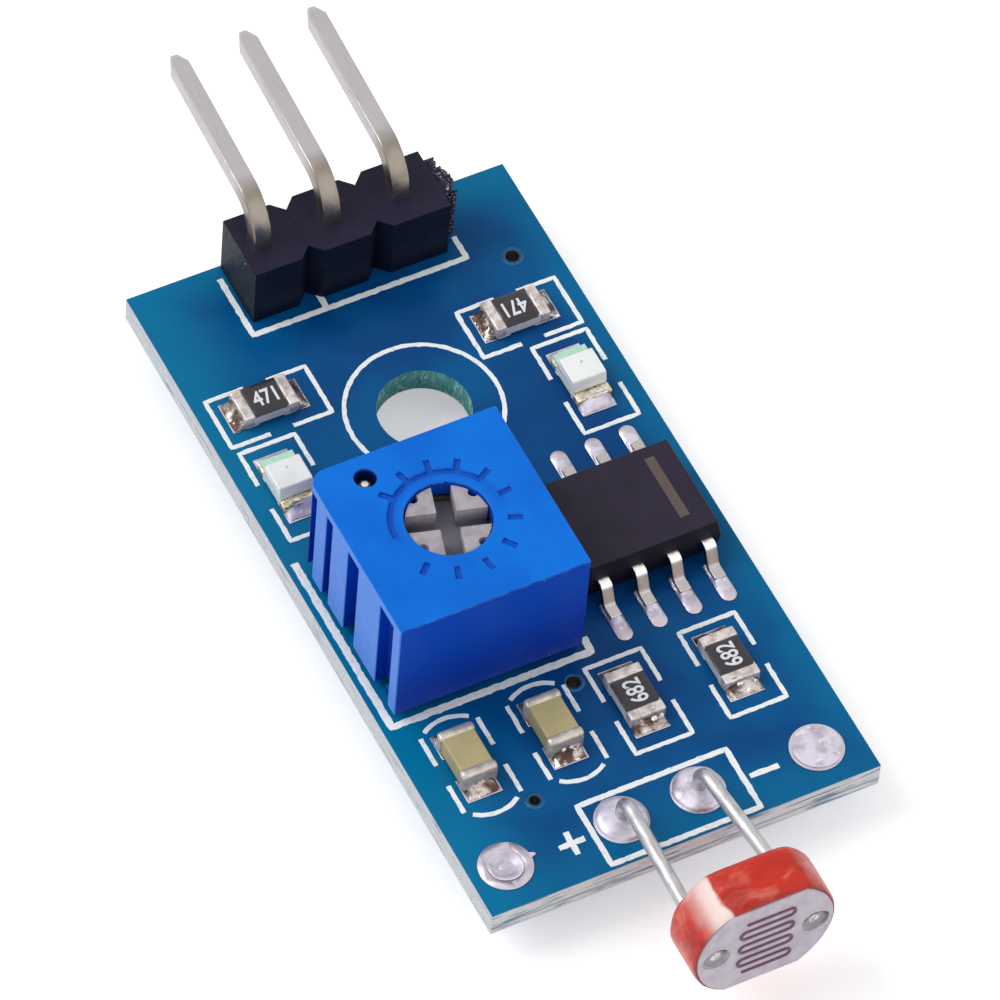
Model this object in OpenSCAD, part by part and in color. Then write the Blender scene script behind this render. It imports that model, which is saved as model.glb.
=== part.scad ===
// Light sensor module: a light-dependent resistor, a comparator and a trimmer on a small circuit board.
// Millimetres. Origin: the axis of the mounting hole, on the board's underside.
// +X runs across the board, +Y along it towards the pin header, +Z up from the component side.

/* [Board] */
// Width of the circuit board
board_w = 14; // [13.8:0.1:15]
// Length of the circuit board
board_l = 27; // [26.6:0.1:28.5]
// Thickness of the circuit board
board_t = 1; // [0.8:0.1:1.6]
// Diameter of the mounting hole
mount_hole_d = 3.2; // [3:0.1:3.6]
// Distance from the header end of the board to the middle of the mounting hole
mount_from_back = 8.15; // [8.1:0.05:8.6]
// Thickness of the tinned copper pads
pad_t = 0.05; // [0.03:0.01:0.08]
// Thickness of the printed outlines
legend_t = 0.03; // [0.02:0.01:0.05]
// Width of the printed lines
legend_line = 0.16; // [0.12:0.01:0.2]
// Length that the soldered wire ends stand out under the board
tail_l = 1.5; // [1.2:0.1:2]
// Height of the solder cones under the board
solder_h = 0.9; // [0.6:0.05:1.1]
// Diameter of the pads round the soldered holes
joint_pad_d = 1.7; // [1.6:0.05:1.8]

/* [Pin header] */
// Distance between neighbouring pins
pin_pitch = 2.54; // [2.4:0.02:2.6]
// Number of pins
pin_count = 3;
// Side of the square pins
pin_side = 0.64; // [0.5:0.02:0.7]
// Distance from the middle pin to the middle of the board, towards -X
header_shift = 0.3; // [0.2:0.05:0.5]
// Distance from the back edge of the board to the pin row
header_inset = 1.36; // [1.3:0.02:1.5]
// Height of the header's plastic body
header_h = 2.54; // [2.3:0.02:2.8]
// Depth of the header's plastic body
header_d = 2.5; // [2.3:0.05:2.6]
// Chamfer on the corners of each header section
header_chamfer = 0.42; // [0.3:0.02:0.5]
// Height of the bent pins' centre line above the plastic body
pin_rise = 1.4; // [1.3:0.05:2]
// Inner radius of the pins' bend
pin_bend_r = 0.95; // [0.6:0.05:1]
// Distance from the pin row to the pin tips
pin_reach = 7.2; // [6:0.1:8]
// Turn of the bent pins towards +X
pin_yaw = 2; // [0:0.5:3]
// Length of the tapered pin tips
pin_taper = 0.55; // [0.3:0.05:0.8]
// Drill for the header pins
header_drill = 1; // [0.98:0.01:1.1]
// Reach of the torn edge where the header was snapped off its strip
tear_l = 0.7; // [0.4:0.05:0.8]

/* [Trimmer] */
// Width of the trimmer case
trimmer_w = 6.8; // [6.6:0.05:7.2]
// Depth of the trimmer case
trimmer_d = 6.8; // [6.6:0.05:7]
// Height of the trimmer case
trimmer_h = 4.9; // [4.7:0.05:5.2]
// Distance from the board's left edge to the trimmer case
trimmer_margin = 0.5; // [0.3:0.05:0.6]
// Distance from the middle of the mounting hole to the trimmer case
trimmer_from_hole = 4; // [3.9:0.05:4.2]
// Height of the case's feet
trimmer_foot_h = 0.33; // [0.2:0.01:0.4]
// Side of the case's feet
trimmer_foot_w = 0.9; // [0.8:0.05:0.95]
// Distance from the case's sides in to its feet
trimmer_foot_inset = 0.3; // [0.2:0.02:0.3]
// Radius of the case's one rounded corner
trimmer_corner_r = 0.6; // [0.3:0.05:0.7]
// Depth of the grooves between the case's side ribs
groove_depth = 0.45; // [0.3:0.05:0.5]
// Height of the case's rim above the grooves
groove_rim = 0.35; // [0.3:0.05:0.6]
// Diameter of the window in the case's top
window_d = 2.9; // [2.8:0.05:3]
// Running gap round the rotor
rotor_gap = 0.05; // [0.03:0.01:0.08]
// Depth of the rotor's face below the case's top
rotor_recess = 0.12; // [0.1:0.02:0.4]
// Width of the rotor's cross slot
slot_w = 0.66; // [0.5:0.02:0.7]
// Depth of the rotor's cross slot
slot_depth = 0.85; // [0.5:0.05:0.9]
// Angle of the rotor's cross slot at rest
slot_angle = -16; // [-20:1:-10]
// Diameter of the four notches in the rotor's rim
notch_d = 0.36; // [0.3:0.02:0.4]
// Depth of the notches in the rotor's rim
notch_depth = 0.5; // [0.3:0.05:0.5]
// Diameter of the rotor's flange
flange_d = 4.7; // [4.4:0.05:4.8]
// Thickness of the rotor's flange
flange_t = 1.2; // [1:0.05:1.3]
// Thickness of the case's top wall
trimmer_roof = 1.2; // [1.1:0.05:1.3]
// Thickness of the trimmer's ceramic substrate
substrate_t = 0.6; // [0.5:0.05:0.7]
// Thickness of the trimmer's resistive track
track_t = 0.04; // [0.03:0.01:0.06]
// Thickness of the trimmer's potted base
base_t = 0.7; // [0.6:0.05:0.8]
// Diameter of the trimmer's terminal wires
trimmer_pin_d = 0.5; // [0.45:0.01:0.55]
// Distance from the case's ribbed side to its outer terminals
trimmer_pin_inset = 1.68; // [1.6:0.02:1.8]
// Distance of the outer terminals from the case's middle, along the board
trimmer_pin_spread = 2.54; // [2.5:0.02:2.6]
// Drill for the trimmer's terminals
trimmer_drill = 0.8; // [0.75:0.01:0.9]
// Bore over the first terminal in the case's top
vent_d = 0.75; // [0.7:0.05:0.8]
// Depth of the first terminal's end below the case's top
vent_depth = 0.45; // [0.3:0.05:0.6]
// Depth of the dial marks
mark_depth = 0.12; // [0.08:0.01:0.15]
// Cord diameter of the rotor's sealing ring
seal_d = 0.4; // [0.35:0.01:0.45]

/* [Comparator] */
// Length of the comparator's body
chip8_l = 4.9; // [4.8:0.05:5]
// Width of the comparator's body
chip8_w = 3.9; // [3.8:0.05:4]
// Height of the comparator's body
chip8_h = 1.45; // [1.35:0.05:1.55]
// Span over the comparator's lead tips
chip8_span = 6.05; // [5.9:0.05:6.2]
// Distance between neighbouring leads
lead_pitch = 1.27; // [1.2:0.01:1.3]
// Width of a lead
lead_w = 0.42; // [0.35:0.01:0.48]
// Thickness of a lead
lead_t = 0.2; // [0.15:0.01:0.25]
// Gap between the trimmer case and the comparator's body
chip8_gap = 1; // [0.8:0.05:1.05]
// Distance from the middle of the mounting hole to the middle of the comparator
chip8_from_hole = 7.22; // [7.1:0.02:7.3]
// Gap between the comparator's body and its pads' top
chip8_standoff = 0.1; // [0.05:0.01:0.15]

/* [Small chips] */
// Length of a small chip
chip_l = 2; // [1.9:0.05:2.1]
// Width of a small chip
chip_w = 1.25; // [1.15:0.05:1.35]
// Height of a resistor
resistor_h = 0.5; // [0.4:0.05:0.6]
// Height of a capacitor
capacitor_h = 0.85; // [0.8:0.05:1.2]
// Height of a lamp's base plate
lamp_base_h = 0.3; // [0.25:0.05:0.4]
// Height of a lamp's lens
lamp_lens_h = 0.5; // [0.4:0.05:0.6]
// Thickness of the metal on a chip's ends
cap_t = 0.05; // [0.03:0.01:0.08]
// Length of a chip's metal ends
end_l = 0.38; // [0.3:0.02:0.5]
// Gap between the trimmer case and the row of chips in front of it
chip_row_gap = 1.48; // [1.4:0.02:1.6]

/* [Light sensor] */
// Width of the sensor
sensor_w = 5.1; // [4.9:0.05:5.3]
// Height of the sensor
sensor_h = 4.3; // [4.1:0.05:4.5]
// Thickness of the sensor's ceramic
sensor_ceramic_t = 1.5; // [1.3:0.05:1.7]
// Thickness of the red coat behind the sensor
coat_back_t = 0.4; // [0.3:0.05:0.5]
// Thickness of the red coat round the sensor
coat_side_t = 0.14; // [0.1:0.01:0.2]
// Height of the sensor's middle above the board
sensor_rise = 1.25; // [1.2:0.05:1.6]
// Distance from the board's front edge to the sensor's face
sensor_reach = 5.1; // [4.9:0.05:5.5]
// Distance between the leads in the sensor
sensor_lead_gap = 3.5; // [3.3:0.05:3.6]
// Distance between the sensor's two pads
sensor_pad_gap = 2.76; // [2.7:0.02:2.9]
// Distance of the sensor's pads from the board's middle, towards -X
sensor_pad_shift = 0.2; // [0.1:0.05:0.3]
// Distance from the board's front edge to the sensor's pads
sensor_pad_inset = 1.58; // [1.5:0.02:1.7]
// Diameter of the sensor's leads
sensor_lead_d = 0.48; // [0.4:0.02:0.5]
// Bend radius of the sensor's leads
sensor_bend_r = 0.6; // [0.5:0.05:0.7]
// Drill for the sensor's leads
sensor_drill = 0.8; // [0.75:0.01:0.9]
// Diameter of the four round pads at the sensor's end
sensor_pad_d = 1.84; // [1.8:0.02:1.9]
// Height of the solder on the sensor's pads
sensor_solder_h = 0.3; // [0.2:0.02:0.35]
// Width of the sensor's meandering track
meander_line = 0.1; // [0.08:0.01:0.12]
// Distance between the track's runs
meander_pitch = 0.38; // [0.36:0.01:0.4]

/* [Hidden] */
eps = 0.01;
$fn = 48;

// Board
board_front = mount_from_back - board_l;
board_left = -board_w / 2;
land_z = board_t + pad_t;

// Header
header_y = mount_from_back - header_inset;
pin_x = [for (i = [0 : pin_count - 1]) (i - (pin_count - 1) / 2) * pin_pitch - header_shift];
pin_bend_mid = pin_bend_r + pin_side / 2;
pin_bend_z = board_t + header_h + pin_rise - pin_bend_mid;

// Trimmer
trimmer_x = board_left + trimmer_margin + trimmer_w / 2;
trimmer_y = -trimmer_from_hole - trimmer_d / 2;
trimmer_front = trimmer_y - trimmer_d / 2;
base_z = trimmer_foot_h;
substrate_z = base_z + base_t;
chamber_z = substrate_z + substrate_t;
roof_z = trimmer_h - trimmer_roof;
flange_z = roof_z - rotor_gap - flange_t;
rotor_top = trimmer_h - rotor_recess;
hub_d = window_d - 2 * rotor_gap;
chamber_d = flange_d + 4 * rotor_gap;
seal_room = seal_d + 2 * rotor_gap;
groove_wall = 0.25;
side_wall = 0.4;
end_wall = 0.45;
pocket_l = trimmer_d - 2 * end_wall;
pocket_w = trimmer_w - groove_depth - groove_wall - side_wall;
pocket_x = (groove_depth + groove_wall - side_wall) / 2;
outer_pin_x = trimmer_pin_inset - trimmer_w / 2;
middle_pin_x = 0.76;
trimmer_pins = [[outer_pin_x, trimmer_pin_spread], [middle_pin_x, 0], [outer_pin_x, -trimmer_pin_spread]];
groove_starts = [0.49, 2.99, 4.87, 6.01];
groove_widths = [0.95, 0.77, 0.43, 0.54];
mark_w = 0.22;
mark_first = 6;
mark_steps = [28.6, 25.2];
mark_r = [1.9, 2.4];
dial_arc_r = [1.78, 1.98];
dial_arc_end = -150;
wiper_t = 0.12;
wiper_r = 1.8;

// Comparator
chip8_x = trimmer_x + trimmer_w / 2 + chip8_gap + chip8_l / 2;
chip8_y = -chip8_from_hole;
chip8_z = land_z + chip8_standoff;
chip8_draft = 0.12;
lead_z = chip8_standoff + chip8_h / 2;
lead_root = 0.35;
foot_l = 0.65;
land_w = 0.58;
land_out = 0.85;
land_l = 1.5;

// Small chips
row_y = trimmer_front - chip_row_gap - chip_l / 2;
resistors = [[board_left + 2.23, 2.27, 0], [chip8_x + 0.69, 2.18, 0], [chip8_x - 2.83, row_y, 90],
    [chip8_x + 0.6, row_y, 90]];
capacitors = [[board_left + 1.87, row_y, 90], [board_left + 4.97, row_y, 90]];
lamps = [[board_left + 1.52, -1, 90], [chip8_x + 1.5, -1.08, 90]];
chips = concat(resistors, capacitors, lamps);
chip_land_l = 0.95;
chip_land_out = 0.4;

// Sensor
sensor_y = board_front - sensor_reach;
sensor_back = sensor_y + sensor_ceramic_t + coat_back_t;
sensor_z = board_t + sensor_rise;
sensor_hole_y = board_front + sensor_pad_inset;
sensor_holes = [for (s = [-1, 1]) [s * sensor_pad_gap / 2 - sensor_pad_shift, sensor_hole_y]];
sensor_lead_sink = 0.1;
spare_pads = [[board_left + 1.25, board_front + 1.54], [chip8_x + 1.68, board_front + 1.47]];
spare_drill = 1.2;
meander_w = 1.9;
meander_runs = 8;

// Vias: x, y and drill
vias = [[chip8_x + 1.77, mount_from_back - 3.66, 0.5], [board_left + 3.24, row_y - 2.15, 0.4],
    [trimmer_x + 2.56, trimmer_front - 1.04, 0.5]];

// Printed outlines. Their shift is how far the print lies off the parts that it frames
frame_shift = [0.12, -0.09];
ring_r = 2.65;
resistor_frame = [3.65, 2.05, 1];
lamp_frame = [3.85, 2.02, 1.19];
capacitor_frame_l = 2.98;
capacitor_frame_w = 2.04;
capacitor_frame_gap = 1.02;
capacitor_bow_r = 1.39;
capacitor_bow_half = 0.78;
capacitor_bow_x = 0.6;
sensor_frame = [5.37, 2.45, 0];
sensor_frame_shift = [0.24, -0.17];
header_frame_front = 0.48;
header_frame_left = 0.12;
header_frame_right = 0.47;
header_frame_back = 0.83;
header_frame_end = 0.77;
header_tick_shift = 0.37;
header_tick_l = 0.7;
trimmer_frame_left = 0.16;
trimmer_frame_right = 0.25;
trimmer_frame_front = 0.2;
trimmer_frame_end = 0.6;

// Shared shapes

// A box centred on x and y that stands on z = 0
module block(size) {
    translate([-size[0] / 2, -size[1] / 2, 0]) cube(size);
}

// An outline in the YZ plane, drawn as [y, z], made into a bar centred on x = 0
module bar_x(width) {
    rotate([90, 0, 90]) translate([0, 0, -width / 2]) linear_extrude(width) children();
}

// A flat ring
module ring(outer_d, inner_d, height) {
    difference() {
        cylinder(d = outer_d, h = height);
        translate([0, 0, -eps]) cylinder(d = inner_d, h = height + 2 * eps);
    }
}

// Round solder in a plated hole, with a hollow cone under the board
module solder_plug(drill, pad_d, wire_d, top) {
    rim = pad_d / 2 - 0.05;
    neck = wire_d / 2 + 0.06;
    cone = [for (i = [0 : 5]) let (a = 90 * i / 5)
        [rim - (rim - neck) * sin(a), -pad_t - solder_h * (1 - cos(a))]];
    rotate_extrude() polygon(concat([[0, top], [drill / 2, top], [drill / 2, -pad_t]], cone,
        [[0, -pad_t - solder_h]]));
}

// Board

module drill(at, d) {
    translate([at[0], at[1], -eps]) cylinder(d = d, h = board_t + 2 * eps);
}

module pcb() {
    color([0.02, 0.33, 0.56]) difference() {
        translate([board_left, board_front, 0]) cube([board_w, board_l, board_t]);
        drill([0, 0], mount_hole_d);
        for (x = pin_x) drill([x, header_y], header_drill);
        for (p = trimmer_pins) drill([trimmer_x + p[0], trimmer_y + p[1]], trimmer_drill);
        for (p = sensor_holes) drill(p, sensor_drill);
        for (p = spare_pads) drill(p, spare_drill);
        for (v = vias) drill([v[0], v[1]], v[2]);
    }
}

// A chip's pad, with its outer end at the origin and its length along -X
module chip_land(size, rounded) {
    r = rounded ? size[1] / 2 : 0;
    translate([-size[0], -size[1] / 2, 0]) cube([size[0] - r, size[1], pad_t]);
    if (rounded) translate([-r, 0, 0]) cylinder(r = r, h = pad_t);
}

module pads() {
    color([0.8, 0.78, 0.78]) {
        for (p = sensor_holes) for (z = [-pad_t, board_t])
            translate([p[0], p[1], z]) ring(sensor_pad_d, sensor_drill, pad_t);
        for (p = spare_pads) for (z = [-pad_t, board_t])
            translate([p[0], p[1], z]) ring(sensor_pad_d, spare_drill, pad_t);
        for (x = pin_x) translate([x, header_y, -pad_t]) ring(joint_pad_d, header_drill, pad_t);
        for (p = trimmer_pins)
            translate([trimmer_x + p[0], trimmer_y + p[1], -pad_t]) ring(joint_pad_d, trimmer_drill, pad_t);
        for (c = chips) for (a = [0, 180])
            translate([c[0], c[1], board_t]) rotate(c[2] + a) translate([chip_l / 2 + chip_land_out, 0, 0])
                chip_land([chip_land_l, chip_w], false);
        for (i = [0 : 3]) for (s = [-1, 1])
            translate([chip8_x + (i - 1.5) * lead_pitch, chip8_y + s * (chip8_span / 2 + land_out), board_t])
                rotate(90 * s) chip_land([land_l, land_w], true);
    }
}

// Printed outlines

// A straight printed line from p to q along x or y
module stroke(p, q) {
    h = legend_line / 2;
    translate([min(p[0], q[0]) - h, min(p[1], q[1]) - h, 0])
        cube([abs(p[0] - q[0]) + 2 * h, abs(p[1] - q[1]) + 2 * h, legend_t]);
}

// A printed box of a length and width, with a gap in the middle of both long sides
module chip_frame(size) {
    for (s = [-1, 1]) for (t = [-1, 1]) {
        corner = [s * size[0] / 2, t * size[1] / 2];
        stroke(corner, [s * size[2] / 2, corner[1]]);
        stroke(corner, [corner[0], 0]);
    }
}

// Places the print round a small chip
module at_frame(chip) {
    translate([chip[0] + frame_shift[0], chip[1] + frame_shift[1], 0]) rotate(chip[2]) children();
}

// A printed frame with open sides and bowed ends
module capacitor_frame() {
    bow_d = 2 * capacitor_bow_r;
    for (s = [-1, 1]) {
        for (t = [-1, 1]) stroke([s * capacitor_frame_gap / 2, t * capacitor_frame_w / 2],
            [s * capacitor_frame_l / 2, t * capacitor_frame_w / 2]);
        translate([s * capacitor_bow_x, 0, 0]) intersection() {
            ring(bow_d + legend_line, bow_d - legend_line, legend_t);
            translate([s > 0 ? 0 : -bow_d, -capacitor_bow_half, 0]) cube([bow_d, 2 * capacitor_bow_half, legend_t]);
        }
    }
}

module legend() {
    low = header_y - header_d / 2 - header_frame_front;
    x0 = pin_x[0] - pin_pitch / 2 + header_chamfer - header_frame_left;
    x1 = pin_x[pin_count - 1] + pin_pitch / 2 + header_frame_right;
    tick = pin_x[0] + pin_pitch / 2 + header_tick_shift;
    left = trimmer_x - trimmer_w / 2 - trimmer_frame_left;
    right = trimmer_x + trimmer_w / 2 + trimmer_frame_right;
    front = trimmer_front - trimmer_frame_front;
    color("white") translate([0, 0, board_t]) {
        ring(2 * ring_r + legend_line, 2 * ring_r - legend_line, legend_t);
        stroke([x0, low], [x1, low]);
        stroke([x0, low], [x0, header_y + header_frame_back]);
        stroke([x1, low], [x1, header_y - header_frame_end]);
        stroke([tick, low], [tick, low + header_tick_l]);
        stroke([left, front], [right, front]);
        stroke([left, front], [left, trimmer_y + trimmer_d / 2 + legend_line / 2]);
        stroke([right, front], [right, front + trimmer_frame_end]);
        for (c = resistors) at_frame(c) chip_frame(resistor_frame);
        for (c = lamps) at_frame(c) chip_frame(lamp_frame);
        for (c = capacitors) at_frame(c) capacitor_frame();
        translate([sensor_frame_shift[0] - sensor_pad_shift, sensor_hole_y + sensor_frame_shift[1], 0])
            chip_frame(sensor_frame);
    }
}

// Pin header

// Plan of one header section, an octagon that shares its narrow sides with its neighbours.
// The strip is cut off short at the first section and square at the last one
module header_section(i) {
    w = pin_pitch / 2;
    d = header_d / 2;
    c = header_chamfer;
    left = i == 0 ? [[c - w, d], [c - w, -d]] : [[c - w, d], [-w, d - c], [-w, c - d], [c - w, -d]];
    right = i == pin_count - 1 ? [[w, -d], [w, d]] : [[w - c, -d], [w, c - d], [w, d - c], [w - c, d]];
    polygon(concat(left, right));
}

// Ragged stub where the strip was snapped
module torn_stub() {
    w = header_d / 2 - header_chamfer;
    polygon([[0, -w * 0.9], [0.25 * tear_l, -w * 0.7], [0.15 * tear_l, -w * 0.3], [0.6 * tear_l, -w * 0.1],
        [0.75 * tear_l, w * 0.25], [tear_l, w * 0.4], [0.8 * tear_l, w * 0.75], [0.3 * tear_l, w], [0, w]]);
}

module header_housing() {
    color([0.12, 0.11, 0.17]) translate([0, header_y, board_t]) difference() {
        union() {
            for (i = [0 : pin_count - 1]) translate([pin_x[i], 0, 0]) linear_extrude(header_h) header_section(i);
            translate([pin_x[pin_count - 1] + pin_pitch / 2, 0, header_h / 3])
                linear_extrude(header_h * 2 / 3) torn_stub();
        }
        for (x = pin_x) translate([x, 0, -eps]) rotate(-pin_yaw) block([pin_side, pin_side, header_h + 2 * eps]);
    }
}

// Side view of a bent pin in the YZ plane, from its cut tail to its tapered tip
module pin_side_view() {
    s = pin_side;
    tip = 0.4 * s;
    z = pin_bend_z + pin_bend_mid;
    translate([-s / 2, -tail_l]) square([s, tail_l + pin_bend_z]);
    translate([pin_bend_mid, pin_bend_z]) difference() {
        circle(pin_bend_r + s);
        circle(pin_bend_r);
        translate([0, -3 * s - pin_bend_r]) square(6 * s + 2 * pin_bend_r);
        translate([-3 * s - pin_bend_r, -6 * s - 2 * pin_bend_r]) square(6 * s + 2 * pin_bend_r);
    }
    polygon([[pin_bend_mid, z - s / 2], [pin_reach - pin_taper, z - s / 2], [pin_reach, z - tip / 2],
        [pin_reach, z + tip / 2], [pin_reach - pin_taper, z + s / 2], [pin_bend_mid, z + s / 2]]);
}

module header_pin(i) {
    s = pin_side;
    tip = 0.4 * s;
    color([0.78, 0.74, 0.7]) translate([pin_x[i - 1], header_y, 0]) rotate(-pin_yaw) intersection() {
        bar_x(s) pin_side_view();
        translate([0, 0, -tail_l]) linear_extrude(tail_l + pin_bend_z + 3 * pin_bend_mid)
            polygon([[-s / 2, -s], [s / 2, -s], [s / 2, pin_reach - pin_taper], [tip / 2, pin_reach],
                [-tip / 2, pin_reach], [-s / 2, pin_reach - pin_taper]]);
    }
}

module header_solder() {
    color([0.75, 0.74, 0.74]) for (x = pin_x) translate([x, header_y, 0]) difference() {
        solder_plug(header_drill, joint_pad_d, pin_side * 1.2, board_t);
        translate([0, 0, -tail_l]) rotate(-pin_yaw) block([pin_side, pin_side, tail_l + board_t + eps]);
    }
}

// Trimmer

// Plan of the case, with one rounded corner
module trimmer_plan() {
    r = trimmer_corner_r;
    difference() {
        square([trimmer_w, trimmer_d], center = true);
        translate([-trimmer_w / 2 - eps, trimmer_d / 2 - r]) square(r + eps);
    }
    translate([r - trimmer_w / 2, trimmer_d / 2 - r]) circle(r);
}

// One engraved mark of the dial, pointing out from the middle
module dial_mark(angle, inner_r, outer_r) {
    rotate(angle) translate([inner_r, -mark_w / 2, trimmer_h - mark_depth])
        cube([outer_r - inner_r, mark_w, 2 * mark_depth]);
}

module dial() {
    r = trimmer_w / 2;
    for (i = [-5 : 5]) dial_mark(mark_first + i * mark_steps[i > 0 ? 1 : 0], mark_r[0], mark_r[1]);
    difference() {
        translate([0, 0, trimmer_h - mark_depth]) ring(2 * dial_arc_r[1], 2 * dial_arc_r[0], 2 * mark_depth);
        rotate(dial_arc_end) translate([-r, 0, 0]) cube([2 * r, r, 2 * trimmer_h]);
        translate([-r, -r, 0]) cube([2 * r, r, 2 * trimmer_h]);
    }
}

// Four square feet, set in from the case's sides
module trimmer_feet() {
    for (s = [-1, 1]) for (t = [-1, 1])
        translate([s * (trimmer_w / 2 - trimmer_foot_inset - trimmer_foot_w / 2),
            t * (trimmer_d / 2 - trimmer_foot_inset - trimmer_foot_w / 2), -2 * eps])
            block([trimmer_foot_w, trimmer_foot_w, trimmer_foot_h + 4 * eps]);
}

module trimmer_case() {
    color([0.02, 0.43, 0.87]) translate([trimmer_x, trimmer_y, board_t]) difference() {
        linear_extrude(trimmer_h) trimmer_plan();
        difference() {
            translate([0, 0, -eps]) block([trimmer_w + 1, trimmer_d + 1, trimmer_foot_h + eps]);
            trimmer_feet();
        }
        for (i = [0 : len(groove_starts) - 1])
            translate([-trimmer_w / 2 - eps, groove_starts[i] - trimmer_d / 2, trimmer_foot_h - eps])
                cube([groove_depth + eps, groove_widths[i], trimmer_h - trimmer_foot_h - groove_rim + eps]);
        translate([pocket_x, 0, base_z - eps]) block([pocket_w, pocket_l, base_t + substrate_t + eps]);
        translate([0, 0, chamber_z - eps]) cylinder(d = chamber_d, h = roof_z - chamber_z + eps);
        translate([0, 0, roof_z - eps]) cylinder(d = hub_d + 2 * seal_room, h = seal_room + eps);
        translate([0, 0, roof_z]) cylinder(d = window_d, h = trimmer_roof + eps);
        translate([trimmer_pins[0][0], trimmer_pins[0][1], chamber_z - eps])
            cylinder(d = vent_d, h = trimmer_h);
        dial();
    }
}

module trimmer_rotor() {
    color([0.66, 0.62, 0.66]) translate([trimmer_x, trimmer_y, board_t]) difference() {
        union() {
            translate([0, 0, flange_z]) cylinder(d = flange_d, h = flange_t);
            translate([0, 0, flange_z + flange_t]) cylinder(d = hub_d, h = rotor_top - flange_z - flange_t);
        }
        for (a = [0, 90]) rotate(slot_angle + a)
            translate([0, 0, rotor_top - slot_depth]) block([window_d, slot_w, slot_depth + eps]);
        for (a = [45 : 90 : 315]) rotate(slot_angle + a)
            translate([hub_d / 2, 0, rotor_top - notch_depth]) cylinder(d = notch_d, h = notch_depth + eps);
    }
}

// Spring contact under the rotor: a disc with two bent fingers that reach down to the track
module trimmer_wiper() {
    finger_w = 0.5;
    low = chamber_z + track_t + rotor_gap;
    top = flange_z - wiper_t;
    color([0.82, 0.66, 0.36]) translate([trimmer_x, trimmer_y, board_t]) {
        translate([0, 0, top]) cylinder(d = flange_d - 0.4, h = wiper_t);
        for (a = [0, 180]) rotate(a) bar_x(finger_w)
            polygon([[0.5, top], [wiper_r - 0.2, low], [wiper_r, low], [wiper_r + 0.15, low + wiper_t],
                [wiper_r - 0.25, low + wiper_t], [0.9, top]]);
    }
}

module trimmer_seal() {
    color([0.1, 0.1, 0.1]) translate([trimmer_x, trimmer_y, board_t + flange_z + flange_t + seal_d / 2])
        rotate_extrude() translate([(hub_d + seal_d) / 2, 0]) circle(d = seal_d, $fn = 24);
}

// Open ring of resistive film, with a contact spot in the middle
module trimmer_track() {
    color([0.2, 0.2, 0.22]) translate([trimmer_x, trimmer_y, board_t + chamber_z]) {
        difference() {
            ring(2 * wiper_r + 0.5, 2 * wiper_r - 0.5, track_t);
            rotate(135) translate([0, 0, -eps]) linear_extrude(track_t + 2 * eps) polygon([[0, 0], [4, 0], [0, 4]]);
        }
        cylinder(d = 0.9, h = track_t);
    }
}

module trimmer_plate(z, height) {
    translate([trimmer_x, trimmer_y, board_t + z]) difference() {
        translate([pocket_x, 0, 0]) block([pocket_w, pocket_l, height]);
        for (p = trimmer_pins) translate([p[0], p[1], -eps]) cylinder(d = trimmer_pin_d, h = height + 2 * eps);
    }
}

module trimmer_substrate() {
    color([0.9, 0.88, 0.82]) trimmer_plate(substrate_z, substrate_t);
}

module trimmer_base() {
    color([0.55, 0.5, 0.42]) trimmer_plate(base_z, base_t);
}

module trimmer_pin(i) {
    top = i == 1 ? trimmer_h - vent_depth : chamber_z;
    p = trimmer_pins[i - 1];
    color([0.8, 0.78, 0.74]) translate([trimmer_x + p[0], trimmer_y + p[1], -tail_l])
        cylinder(d = trimmer_pin_d, h = tail_l + board_t + top);
}

module trimmer_solder() {
    color([0.75, 0.74, 0.74]) for (p = trimmer_pins)
        translate([trimmer_x + p[0], trimmer_y + p[1], 0]) difference() {
            solder_plug(trimmer_drill, joint_pad_d, trimmer_pin_d, board_t);
            translate([0, 0, -tail_l]) cylinder(d = trimmer_pin_d, h = tail_l + board_t + eps);
        }
}

// Comparator

// Moulded block seen from one side: widest at the leads, drawn in above and below
module moulded_outline(width) {
    w = width / 2;
    n = w - chip8_draft;
    polygon([[-n, 0], [-w, chip8_h / 2], [-n, chip8_h], [n, chip8_h], [w, chip8_h / 2], [n, 0]]);
}

// Places a lead's shape at lead i: 1 to 4 on the front side, 5 to 8 on the back
module at_lead(i) {
    front = i <= 4;
    column = front ? i - 1 : 8 - i;
    translate([chip8_x + (column - 1.5) * lead_pitch, chip8_y, land_z]) rotate(front ? 180 : 0) children();
}

// Gull-wing lead, from inside the body out to its foot on the pad
module lead_shape() {
    tip = chip8_span / 2;
    heel = tip - foot_l;
    side = chip8_w / 2;
    t = lead_t;
    z = lead_z;
    bar_x(lead_w) polygon([[tip, 0], [heel + 0.05, 0], [heel - 0.06, 0.12], [side + 0.17, z - t / 2 - 0.08],
        [side + 0.08, z - t / 2], [side - lead_root, z - t / 2], [side - lead_root, z + t / 2],
        [side + 0.17, z + t / 2], [side + 0.3, z + t / 2 - 0.08], [heel + 0.15, t + 0.06], [heel + 0.24, t], [tip, t]]);
}

module comparator_lead(i) {
    color([0.78, 0.76, 0.76]) at_lead(i) lead_shape();
}

module comparator_body() {
    color([0.17, 0.15, 0.2]) difference() {
        translate([chip8_x, chip8_y, chip8_z]) intersection() {
            bar_x(chip8_l) moulded_outline(chip8_w);
            rotate(90) bar_x(chip8_w) moulded_outline(chip8_l);
        }
        for (i = [1 : 8]) at_lead(i)
            translate([0, chip8_w / 2 - lead_root, lead_z - lead_t / 2])
                translate([-lead_w / 2, 0, 0]) cube([lead_w, 1, lead_t]);
    }
}

// Small chips

module at_chip(chip) {
    translate([chip[0], chip[1], land_z]) rotate(chip[2]) children();
}

// Solid core of a chip, clear of its metal ends by their thickness
module chip_core(width, height) {
    translate([0, 0, cap_t]) block([chip_l - 2 * cap_t, width, height - 2 * cap_t]);
}

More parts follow.
